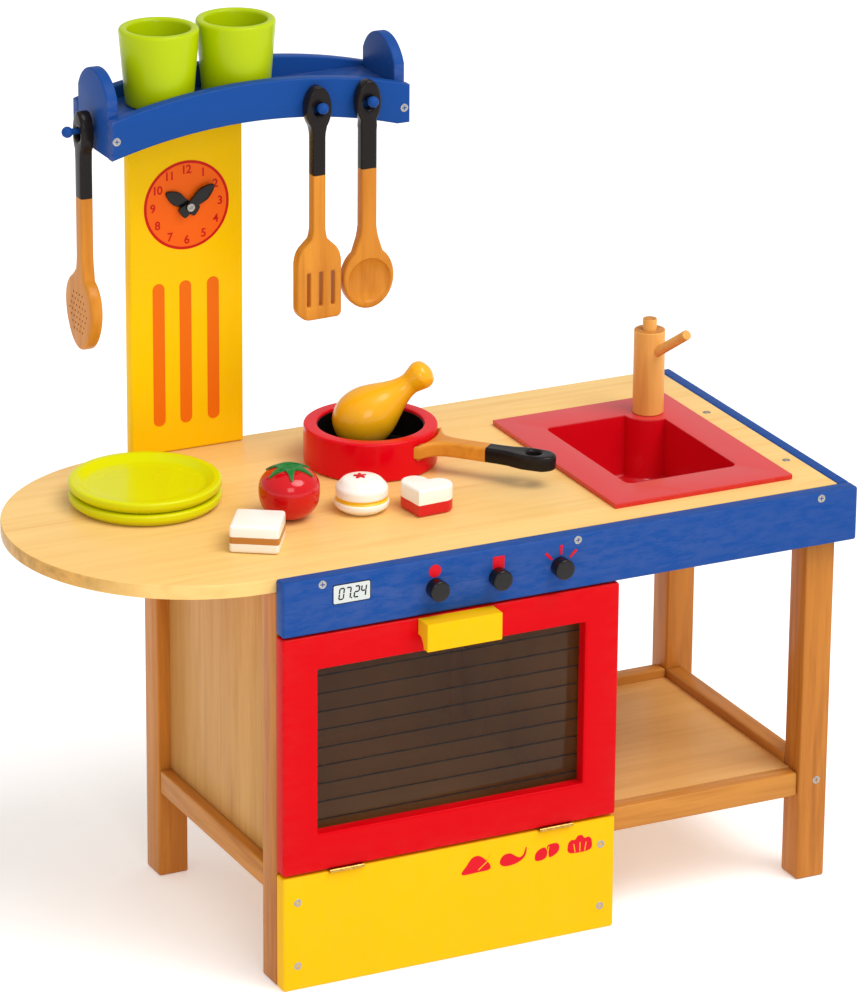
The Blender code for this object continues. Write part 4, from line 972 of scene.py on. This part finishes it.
for node, curved in (("shelf_front_arch", True), ("shelf_back_arch", False)):
    low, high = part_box(node)
    arch = cutShape([archOutline(low, high, curved)], high.y - low.y, shelf["edge"])
    placePiece(arch, Matrix.Translation((0, (low.y + high.y) / 2, 0)) @ facingFront)
    finishPiece(arch, node + "_finish", "cabinet", paints["blue"], [node])
for node in ("shelf_left_end", "shelf_right_end"):
    low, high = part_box(node)
    half, middle = (high.y - low.y) / 2, (high.y + low.y) / 2
    radius = (half**2 + shelf["crown"] ** 2) / (2 * shelf["crown"])
    angle = math.degrees(math.asin(half / radius))
    plate = [(low.y, low.z), (high.y, low.z)] + arcLine(
        (middle, high.z - radius), radius, 90 - angle, 90 + angle, 40
    )
    plate = cutShape([plate], high.x - low.x, shelf["edge"])
    placePiece(plate, Matrix.Translation(((low.x + high.x) / 2, 0, 0)) @ facingRight)
    finishPiece(plate, node + "_finish", "cabinet", paints["blue"], [node])
print("shelf done")

# utensils --------------------------------------------------------

utensil = {"hole": 0.0068, "headWide": 0.0135, "headHigh": 0.0235, "edge": 0.0032, "peg": 0.0032}


def handleEdge(handle, shoulder, neck):
    head = arcLine((0, 0), (utensil["headWide"], utensil["headHigh"]), 90, -50, 24)
    edge = handle / 2
    blend = [(edge + 0.0004, -utensil["headHigh"] - 0.0015), (edge, -utensil["headHigh"] - 0.006)]
    return head + blend + [(edge, neck), (edge + 0.0008, (neck + shoulder) / 2), (edge + 0.002, shoulder)]


def bothSides(right, bottom):
    return right + bottom + [(-u, v) for u, v in reversed(right[1:])]


def hangUtensil(node, outlines, along, boundary, body, edge):
    low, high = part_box(node)
    top = high.z - utensil["headHigh"]  # the hole's middle
    pegLow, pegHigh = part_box(along)
    peg = (pegLow + pegHigh) / 2
    ring = arcLine((0, 0), utensil["hole"], 0, 352.5, 47)
    if node == "skimmer":
        piece = cutShape(outlines + [ring], high.x - low.x, edge)
        placePiece(piece, Matrix.Translation(((low.x + high.x) / 2, peg.y, top)) @ facingRight)
    else:
        piece = cutShape(outlines + [ring], high.y - low.y, edge)
        placePiece(piece, Matrix.Translation((peg.x, (low.y + high.y) / 2, top)) @ facingFront)
    return piece, peg, top


turner = {
    "half": 0.0245, "drop": 0.223, "handle": 0.0135, "slots": (-0.012, 0.0015, 0.015), "slotWide": 0.002,
    "slotFrom": 0.016, "slotTo": 0.049
}
half, drop = turner["half"], turner["drop"]
right = handleEdge(turner["handle"], -drop + 0.086, -drop + 0.096)
right += arcLine((half - 0.013, -drop + 0.058), (0.013, 0.022), 62, 0, 10) + [(half, -drop + 0.014)]
corner = arcLine((half - 0.006, -drop + 0.0065), 0.006, 0, -78, 8) + arcLine(
    (-half + 0.014, -drop + 0.014), 0.014, 272, 180, 14
)
left_edge = [(-u, v) for u, v in reversed(right[1:-1])]
slots = []
for offset in turner["slots"]:
    wide = turner["slotWide"]
    slots.append(
        arcLine((offset, -drop + turner["slotTo"]), wide, 0, 180, 8)
        + arcLine((offset, -drop + turner["slotFrom"]), wide, 180, 360, 8)
    )
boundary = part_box("turner")[1].z - 0.0927
piece, peg, top = hangUtensil(
    "turner", [right[:-1] + corner + left_edge] + slots, "turner_peg", boundary, "turner_body", 0.0017
)
finishPiece(
    piece, "turner_finish", "turner_body", dippedWood("oiledTurner", "Z", boundary), ["turner"],
    50
)

spoon = {"half": 0.0285, "drop": 0.219, "handle": 0.0175, "dish": 0.0240, "dishDeep": 0.0062}
half, drop = spoon["half"], spoon["drop"]
right = handleEdge(spoon["handle"], -drop + 0.076, -drop + 0.088)
bowl = arcLine((0, -drop + 0.033), (half, 0.033), 56, -236, 60)
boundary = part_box("spoon")[1].z - 0.0927
piece, peg, top = hangUtensil(
    "spoon", [bothSides(right, bowl)], "spoon_peg", boundary, "spoon_body", utensil["edge"]
)
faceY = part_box("spoon")[0].y
wide, deep = spoon["dish"], spoon["dishDeep"]
dish = turnedPiece(
    [(0, -deep)] + [
        (wide * math.sin(math.radians(a)), -deep * math.cos(math.radians(a))) for a in range(10, 90, 8)
    ] + [(wide + 0.0006, 0.0008), (wide + 0.0016, 0.006), (0, 0.006)],
    72
)
placePiece(dish, Matrix.Translation((peg.x, faceY, top - drop + 0.030)) @ facingFront)
cutWith(piece, dish)
finishPiece(
    piece, "spoon_finish", "spoon_body", dippedWood("oiledSpoon", "Z", boundary), ["spoon"], 40
)

skimmer = {
    "half": 0.034, "drop": 0.229, "handle": 0.0165, "offset": 0.004, "dot": 0.00135, "dotPitch": 0.0072
}
half, drop = skimmer["half"], skimmer["drop"]
right = handleEdge(skimmer["handle"], -drop + 0.086, -drop + 0.100)
egg = []
for u, v in arcLine((0, 0), (half, 0.040), 66, -246, 60):
    egg.append((u * (1 + 0.15 * v / 0.040) + skimmer["offset"], -drop + 0.040 + v))
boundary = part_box("skimmer")[1].z - 0.0902
piece, peg, top = hangUtensil(
    "skimmer", [bothSides(right, egg)], "skimmer_peg", boundary, "skimmer_body", utensil["edge"]
)
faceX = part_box("skimmer")[0].x
holes = []
for row in range(-3, 4):
    for place in range(-3, 4):
        u = (place + (0.5 if row % 2 else 0)) * skimmer["dotPitch"]
        v = row * skimmer["dotPitch"] * 0.9
        if (u / 0.0255) ** 2 + (v / 0.0240) ** 2 < 1:
            deselectAll()
            spot = (faceX, peg.y + skimmer["offset"] + u, top - drop + 0.040 + v)
            bpy.ops.mesh.primitive_cylinder_add(
                vertices=12, radius=skimmer["dot"], depth=0.010, location=spot, rotation=(0, math.pi / 2, 0)
            )
            holes.append(bpy.context.object)
print("skimmer dots:", len(holes))
cutWith(piece, joinPieces(holes))
finishPiece(
    piece, "skimmer_finish", "skimmer_body", dippedWood("oiledSkimmer", "Z", boundary),
    ["skimmer"], 40
)
print("utensils done")

# clock -----------------------------------------------------------

clock = {
    "disc": 0.0475, "ring": (0.0445, 0.0472), "numbers": 0.0375, "size": 0.0125,
    "stripes": (0.040, 0.070, 0.101), "stripeWide": 0.0133, "from": 0.470, "to": 0.625
}
low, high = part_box("clock_board")
plate = roundBoard(low, high, 0.0022, 4)
# the clock board takes the brightened yellow: painted light
finishPiece(plate, "clock_board_finish", "cabinet", paints["boardYellowPaintedLight"], ["clock_board"])
screwLow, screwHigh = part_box("clock_screw")
clockX, clockZ = (screwLow.x + screwHigh.x) / 2, (screwLow.z + screwHigh.z) / 2
boardFace = low.y
discX, discZ = clockX - 0.0012, clockZ + 0.0005
printMark(
    "clock_disc", [arcLine((discX, discZ), clock["disc"], 0, 357, 119)], (0, boardFace - 0.0001, 0),
    paints["disc"]
)
rings = [arcLine((discX, discZ), radius, 0, 357, 119) for radius in clock["ring"]]
printMark("clock_ring", rings, (0, boardFace - 0.00025, 0), paints["clockRed"])
for index, fromLeft in enumerate(clock["stripes"]):
    x0, half = left + fromLeft, clock["stripeWide"] / 2
    stripe = roundedBox((x0 - half, clock["from"]), (x0 + half, clock["to"]), half - 0.0002, 10)
    printMark(
        "clock_stripe_" + str(index + 1), [stripe], (0, boardFace - 0.0001, 0), paints["orange"],
    )
numbers = []
for hour in range(1, 13):
    deselectAll()
    bpy.ops.object.text_add()
    figure = bpy.context.object
    figure.data.body = str(hour)
    figure.data.size = clock["size"]
    figure.data.extrude = 0.00015
    figure.data.offset = 0.00025
    figure.data.space_character = 0.9
    figure.data.align_x, figure.data.align_y = "CENTER", "CENTER"
    bpy.ops.object.convert(target="MESH")
    figure = bpy.context.object
    angle = math.radians(hour * 30)
    spot = (
        discX + clock["numbers"] * math.sin(angle), boardFace - 0.0003,
        discZ + clock["numbers"] * math.cos(angle)
    )
    placePiece(figure, Matrix.Translation(spot) @ facingFront)
    numbers.append(figure)
numbers = joinPieces(numbers)
cleanMesh(numbers)
finishPiece(numbers, "clock_numbers", "cabinet", paints["clockRed"], smooth=0)

hands = {"hour_hand": (0.0295, 304), "minute_hand": (0.034, 53), "wide": 0.015, "tail": 0.012}
for node in ("hour_hand", "minute_hand"):
    low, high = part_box(node)
    long, angle = hands[node]
    wide, tail = hands["wide"], hands["tail"]
    edge = [(wide * 0.30, -tail), (
        wide * 0.43, -tail * 0.72
    ), (wide * 0.38, -tail * 0.3), (wide * 0.31, 0), (wide * 0.36, long * 0.25),
            (wide * 0.48, long * 0.52), (wide * 0.37, long * 0.76), (wide * 0.12, long * 0.975)]
    leaf = smoothLine(edge + [(-u, v) for u, v in reversed(edge)])
    hand = cutShape([leaf], high.y - low.y, 0.0007)
    placePiece(
        hand,
        Matrix.Translation((clockX, (low.y + high.y) / 2, clockZ)) @ Matrix.Rotation(
            math.radians(angle), 4, "Y"
        ) @ facingFront
    )
    finishPiece(hand, node + "_finish", node + "_body", paints["black"], [node])
print("clock done")

# dishes ----------------------------------------------------------

dishes = {
    "cupWall": 0.009, "cupFloor": 0.008, "cupFoot": 0.0345, "plateRim": 0.0075, "panWall": 0.014,
    "panFloor": 0.008, "lining": 0.0007
}
for node in ("left_cup", "right_cup"):
    low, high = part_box(node)
    rim, tall, foot, wall = (high.x - low.x) / 2, high.z - low.z, dishes["cupFoot"], dishes["cupWall"]
    profile = [
        (0, 0, 0), (foot, 0, 0.0035), (rim, tall, 0.0042), (rim - wall, tall, 0.0042),
        (foot - wall, dishes["cupFloor"], 0.006), (0, dishes["cupFloor"], 0)
    ]
    cup = turnedPiece(softProfile(profile, 7), 96)
    placePiece(cup, Matrix.Translation(((low.x + high.x) / 2, (low.y + high.y) / 2, low.z)))
    finishPiece(cup, node + "_finish", node + "_body", paints["green"], [node])

for node in ("lower_plate", "upper_plate"):
    low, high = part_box(node)
    rim, tall = (high.x - low.x) / 2, high.z - low.z
    inside = rim - dishes["plateRim"]
    profile = [(0, 0, 0), (
        inside + 0.001, 0, 0.003
    ), (rim, 0.006, 0.004), (rim, tall, 0.0034), (inside, tall, 0.003),
               (
                   inside - 0.010, tall - 0.0058, 0.012
               ), (inside - 0.022, tall - 0.0068, 0.004), (0, tall - 0.007, 0)]
    plate = turnedPiece(softProfile(profile, 7), 112)
    placePiece(plate, Matrix.Translation(((low.x + high.x) / 2, (low.y + high.y) / 2, low.z)))
    finishPiece(plate, node + "_finish", node + "_body", paints["plateGreen"], [node])

low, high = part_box("pan")
panX, panY, panZ = (low.x + high.x) / 2, (low.y + high.y) / 2, low.z
rim, tall = (high.x - low.x) / 2, high.z - low.z
inside, floorZ = rim - dishes["panWall"], dishes["panFloor"]
profile = [
    (0, 0, 0), (rim, 0, 0.004), (rim, tall, 0.0026), (inside, tall, 0.0022), (inside, floorZ, 0.003),
    (0, floorZ, 0)
]
pan = turnedPiece(softProfile(profile, 7), 112)
placePiece(pan, Matrix.Translation((panX, panY, panZ)))
finishPiece(pan, "pan_finish", "pan_body", paints["panRed"], ["pan"])
skin = dishes["lining"]
profile = [
    (0, floorZ + 0.0001, 0), (inside - 0.0001, floorZ + 0.0001, 0.0028),
    (inside - 0.0001, tall - 0.0028, 0.0002), (inside - skin, tall - 0.0030, 0.0002),
    (inside - skin, floorZ + skin, 0.0028), (0, floorZ + skin, 0)
]
lining = turnedPiece(softProfile(profile, 6), 112)
placePiece(lining, Matrix.Translation((panX, panY, panZ)))
finishPiece(lining, "pan_lining", "pan_body", paints["black"], ())

handleShape = {
    "length": 0.136, "below": 0.0065, "thick": 0.016, "angle": -49, "hole": 0.0078, "holeFromEnd": 0.024,
    "grip": 0.455, "edge": 0.0032
}
root, end = rim + 0.0003, rim + handleShape["length"]
flare = math.degrees(math.asin(0.034 / root))
side = [(
    root - 0.002, 0.0295
), (root + 0.003, 0.0205), (root + 0.009, 0.0138), (root + 0.018, 0.0103), (root + 0.035, 0.0095),
        (end - 0.062, 0.0095), (end - 0.050, 0.0103), (end - 0.040, 0.0130), (end - 0.033, 0.0146)]
tip = arcLine((end - 0.022, 0), (0.022, 0.0155), -62, 62, 28)
wall = arcLine((0, 0), root, flare - 2, -flare + 2, 24)
outline = wall + [(u, -v) for u, v in side] + tip + [(u, v) for u, v in reversed(side)]
ring = arcLine((end - handleShape["holeFromEnd"], 0), handleShape["hole"], 0, 352.5, 47)
grip = cutShape([outline, ring], handleShape["thick"], handleShape["edge"], 4)
turn = Matrix.Rotation(math.radians(handleShape["angle"]), 4, "Z")
placePiece(
    grip,
    Matrix.Translation((panX, panY, panZ + tall - handleShape["below"] - handleShape["thick"] / 2)) @ turn
)
direction = (math.cos(math.radians(handleShape["angle"])), math.sin(math.radians(handleShape["angle"])), 0)
boundary = panX * direction[0] + panY * direction[1] + root + (end - root) * handleShape["grip"]
finishPiece(
    grip, "pan_handle_finish", "pan_body", dippedWood("oiledGrip", "X", boundary, direction),
    ["pan_handle"], 45
)
print("dishes done")

# food ------------------------------------------------------------

food = {"leg": [(0, -0.037, 0), (0.0125, -0.0345, 0.01), (
    0.0225, -0.0275, 0.012
), (0.0292, -0.016, 0.02), (0.0313, -0.003, 0.02), (0.0292, 0.011, 0.02), (0.0236, 0.024, 0.02),
                (0.0175, 0.036, 0.02), (
                    0.0132, 0.047, 0.015
                ), (0.0117, 0.056, 0.01), (0.0137, 0.064, 0.008), (
                    0.0152, 0.0715, 0.006
                ), (0.0124, 0.0785, 0.005), (0.006, 0.0820, 0.004), (0, 0.083, 0)]}
ends = [corner[:2] for corner in food["leg"]]
curve = smoothLine(ends + [(-u, v) for u, v in reversed(ends[1:-1])], 5)
leg = turnedPiece([(max(u, 0), v) for u, v in curve[: (len(ends) - 1) * 5]] + [ends[-1]], 96)
along = Vector((0.0485, -0.020, 0.041)).normalized()
lean = Vector((0, 0, 1)).rotation_difference(along).to_matrix().to_4x4()
placePiece(leg, Matrix.Translation((panX + 0.0034, panY + 0.0165, panZ + floorZ + 0.0348)) @ lean)
finishPiece(leg, "drumstick_finish", "drumstick_body", paints["golden"], ["drumstick"], 60)

low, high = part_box("tomato")
middle = (low + high) / 2
half, radius, tall = (high.z - low.z) / 2, (high.x - low.x) / 2, high.z - low.z
profile = [(0, 0.0006), (0.007, 0.0001), (0.0115, 0.0002)]
for step in range(1, 26):
    level = -0.965 + 1.93 * step / 26  # a fuller shape than a ball, widest a little above its middle
    width = (1 - abs(level) ** 2.5) ** (1 / 2.3) * (1 + 0.05 * level)
    profile.append((min(radius * width * 0.985, radius), half + half * level))
profile += [(0.0105, tall - 0.0002), (0.0050, tall - 0.0022), (0, tall - 0.0032)]
tomato = turnedPiece(profile, 80)
placePiece(tomato, Matrix.Translation((middle.x, middle.y, low.z)))
finishPiece(tomato, "tomato_finish", "tomato_body", paints["tomato"], ["tomato"], 60)

star = {"points": 6, "out": 0.0250, "in": 0.0118, "thick": 0.0016}
petals = []
for index in range(star["points"] * 2):
    angle = math.radians(index * 180 / star["points"] + 12)
    reach = star["in"] if index % 2 else star["out"]
    petals.append((reach * math.cos(angle), reach * math.sin(angle)))
leaf = cutShape([smoothLine(petals, 5)], 0.0001)
makeActive(leaf)
bpy.ops.object.mode_set(mode="EDIT")
bpy.ops.mesh.select_all(action="SELECT")
bpy.ops.mesh.quads_convert_to_tris()
bpy.ops.mesh.subdivide(number_cuts=3)
bpy.ops.object.mode_set(mode="OBJECT")
placePiece(leaf, Matrix.Translation((middle.x, middle.y, high.z + 0.01)))
applyModifier(
    leaf, "SHRINKWRAP", target=tomato, wrap_method="PROJECT", use_project_z=True, use_negative_direction=True,
    use_positive_direction=False, offset=0.0002
)
cleanMesh(leaf, 0.0002)
applyModifier(leaf, "SOLIDIFY", thickness=star["thick"], offset=1.0)
finishPiece(leaf, "tomato_leaf", "tomato_body", paints["leaf"], (), 50)

cakes = {"square": (0.050, 0.051, -32.5), "heart": 0.0145, "heartTurn": -40, "layers": (0.010, 0.017)}
low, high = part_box("square_cake")
middle = (low + high) / 2
wide, deep, turn = cakes["square"]
tall = high.z - low.z
cake = roundBoard(Vector((-wide / 2, -deep / 2, 0)), Vector((wide / 2, deep / 2, tall)), 0.0034, 5)
placePiece(
    cake, Matrix.Translation((middle.x, middle.y, low.z)) @ Matrix.Rotation(math.radians(turn), 4, "Z")
)
z0 = low.z
layered = bandedPaint(
    "layerCake", (252, 247, 236), [(z0 + cakes["layers"][0], z0 + cakes["layers"][1], (190, 122, 52))]
)
finishPiece(cake, "square_cake_finish", "square_cake_body", layered, ["square_cake"])

low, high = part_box("round_cake")
middle, wide = (low + high) / 2, (high.x - low.x) / 2
tall = high.z - low.z
profile = [(0, 0, 0), (wide - 0.008, 0, 0.003), (wide, 0.006, 0.006), (wide, 0.0115, 0.003), (
    wide - 0.0036, 0.0143, 0.0018
), (wide - 0.0012, 0.0172, 0.003),
           (wide - 0.0012, 0.0255, 0.006), (wide - 0.0085, 0.0338, 0.008), (0, tall, 0)]
cake = turnedPiece(softProfile(profile, 7), 88)
placePiece(cake, Matrix.Translation((middle.x, middle.y, low.z)))
filled = bandedPaint("filledBun", (252, 247, 236), [(low.z + 0.0122, low.z + 0.0165, (246, 196, 30))])
finishPiece(cake, "round_cake_finish", "round_cake_body", filled, ["round_cake"], 60)
petals = []
for index in range(60):
    angle = math.tau * index / 60
    petals.append((
        (0.0052 + 0.0017 * math.cos(5 * angle)) * math.cos(angle),
        (0.0052 + 0.0017 * math.cos(5 * angle)) * math.sin(angle)
    ))
flower = cutShape([petals], 0.0014, 0.0004, 2)
placePiece(flower, Matrix.Translation((middle.x - 0.002, middle.y, high.z - 0.0006)))
finishPiece(flower, "cake_flower", "round_cake_body", paints["print"], (), 40)

low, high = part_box("heart_cake")
r, tall = cakes["heart"], high.z - low.z
lobes = arcLine((r * 0.84, r * 0.55), r, -38, 138, 30)
outline = [(0, -r * 1.62)] + lobes + [(0, r * 1.14)] + [(-u, v) for u, v in reversed(lobes)]
cake = cutShape([outline], tall, 0.0030, 4)
turn = Matrix.Rotation(math.radians(cakes["heartTurn"]), 4, "Z")
placePiece(cake, turn)
spread = [cake.matrix_world @ vertex.co for vertex in cake.data.vertices]
shiftX = (low.x + high.x - min(p.x for p in spread) - max(p.x for p in spread)) / 2
shiftY = (low.y + high.y - min(p.y for p in spread) - max(p.y for p in spread)) / 2
placePiece(cake, Matrix.Translation((shiftX, shiftY, (low.z + high.z) / 2)))
twoTone = bandedPaint("heartCake", (252, 247, 236), [(low.z - 1, low.z + 0.013, (214, 12, 30))])
finishPiece(cake, "heart_cake_finish", "heart_cake_body", twoTone, ["heart_cake"])
print("food done")

# screws ----------------------------------------------------------

metal, tree, shader = startMaterial("zincScrew", 0.0, 0.5)
wear = ramp(tree, noise(tree, placeNodes(tree), 900, 3, 0.6), 0.35, 0.7)
tree.links.new(
    blendColour(tree, wear, linear(188, 186, 180), linear(146, 140, 130)), shader.inputs["Base Color"]
)
tree.links.new(math2(tree, "ADD", math2(tree, "MULTIPLY", wear, 0.2), 0.26), shader.inputs["Roughness"])
shader.inputs["Metallic"].default_value = 1.0
wireBump(tree, shader, wear, 0.2, 0.0001)
brass, tree, shader = startMaterial("brassHinge", 0.0, 0.5)
wear = ramp(tree, noise(tree, placeNodes(tree), 420, 3, 0.6), 0.35, 0.7)
tree.links.new(
    blendColour(tree, wear, linear(214, 172, 92), linear(168, 126, 58)), shader.inputs["Base Color"]
)
tree.links.new(math2(tree, "ADD", math2(tree, "MULTIPLY", wear, 0.2), 0.24), shader.inputs["Roughness"])
shader.inputs["Metallic"].default_value = 1.0
wireBump(tree, shader, wear, 0.2, 0.0001)
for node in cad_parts:
    if "hinge_leaf" in node:
        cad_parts[node].data.materials.clear()
        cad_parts[node].data.materials.append(brass)

screwShape = {"head": 0.0043, "proud": 0.00025, "cross": (0.0048, 0.0010), "deep": 0.0010}
model = turnedPiece(
    softProfile([
        (0, -0.0012, 0), (screwShape["head"], -0.0012, 0),
        (screwShape["head"], screwShape["proud"], 0.0003), (0, screwShape["proud"] + 0.00005, 0)
    ]),
    40
)
long, wide = screwShape["cross"]
for size in ((long, wide), (wide, long)):
    cutWith(
        model,
        roundBoard(
            Vector((-size[0] / 2, -size[1] / 2, -screwShape["deep"])),
            Vector((size[0] / 2, size[1] / 2, 0.002)), 0
        )
    )
model.name = "screwModel"
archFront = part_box("shelf_front_arch")[0].y
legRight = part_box("front_right_leg")
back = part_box("worktop")[1].y
spots = [
    ((left + x, front, z), facingFront) for x,
    z in (
        (0.0426, 0.433), (0.3247, 0.434), (0.605, 0.4336), (0.0157, 0.096), (0.0157, 0.0266),
        (0.3573, 0.0952), (0.3575, 0.026)
    )
]
spots += [((left + x, archFront, z), facingFront) for x, z in ((-0.0414, 0.8116), (0.2764, 0.8076))]
spots += [((left + 0.621, legRight[0].y, 0.111), facingFront)]
spots += [
    ((left + x, front + y, topSurface), Matrix.Identity(4)) for x, y in ((0.6156, 0.2626), (0.6197, 0.0994))
]
screws = []
for spot, turn in spots:
    screw = model.copy()
    screw.data = model.data.copy()
    bpy.context.scene.collection.objects.link(screw)
    placePiece(screw, Matrix.Translation(spot) @ turn)
    screws.append(screw)
low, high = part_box("clock_screw")
cap = model.copy()
cap.data = model.data.copy()
bpy.context.scene.collection.objects.link(cap)
placePiece(
    cap,
    Matrix.Translation((clockX, low.y + 0.0003, clockZ)) @ facingFront @ Matrix.Rotation(
        math.radians(22), 4, "Z"
    )
)
shank = turnedPiece(
    softProfile(
        [(0, 0, 0), (0.0015, 0, 0), (0.0015, high.y - low.y - 0.0012, 0), (0, high.y - low.y - 0.0012, 0)]
    ),
    24
)
placePiece(shank, Matrix.Translation((clockX, high.y, clockZ)) @ facingFront)
finishPiece(joinPieces([cap, shank]), "clock_screw_finish", "cabinet", metal, ["clock_screw"], 40)
bpy.data.objects.remove(model, do_unlink=True)
finishPiece(joinPieces(screws), "cabinet_screws", "cabinet", metal, (), 40)
print("screws done")

# floor and light -------------------------------------------------

studio = {"sky": 0.60, "sun": 1.6, "key": 9, "front": 9, "glow": 0.28}
floorLook, tree, shader = startMaterial("paperFloor", 0.0, 0.1)
shade = ramp(tree, noise(tree, placeNodes(tree), 2, 2, 0.5), 0.3, 0.7)
tree.links.new(
    blendColour(tree, shade, linear(246, 246, 246), linear(243, 243, 243)), shader.inputs["Base Color"]
)
shader.inputs["Roughness"].default_value = 0.95
shader.inputs["Emission Color"].default_value = (1, 1, 1, 1)
shader.inputs["Emission Strength"].default_value = studio["glow"]
deselectAll()
bpy.ops.mesh.primitive_plane_add(size=40, location=(0, 0, -0.0002))
floor = bpy.context.object
floor.name = "paperFloor"
floor.data.materials.append(floorLook)

world = bpy.context.scene.world or bpy.data.worlds.new("studio")
bpy.context.scene.world = world
world.use_nodes = True
sky = world.node_tree.nodes["Background"]
sky.inputs["Color"].default_value = (1.0, 1.0, 1.0, 1)
sky.inputs["Strength"].default_value = studio["sky"]


def areaLight(name, place, target, size, power):
    deselectAll()
    bpy.ops.object.light_add(type="AREA", location=place)
    light = bpy.context.object
    light.name = name
    light.data.size = size
    light.data.energy = power
    light.rotation_euler = (Vector(target) - Vector(place)).to_track_quat("-Z", "Y").to_euler()


areaLight("topKey", (0.9, -1.4, 2.8), (0, 0, 0.4), 1.2, studio["key"])
areaLight("frontFill", (-0.8, -2.0, 1.5), (-0.2, -0.1, 0.8), 0.9, studio["front"])
deselectAll()
bpy.ops.object.light_add(type="SUN", location=(1.0, -1.6, 3.2))
sun = bpy.context.object
sun.name = "softSun"
sun.data.energy = studio["sun"]
sun.data.angle = math.radians(38)
sun.rotation_euler = Vector((-1.0, 1.6, -3.2)).to_track_quat("-Z", "Y").to_euler()
print("floor and light done")

bpy.context.view_layer.update()
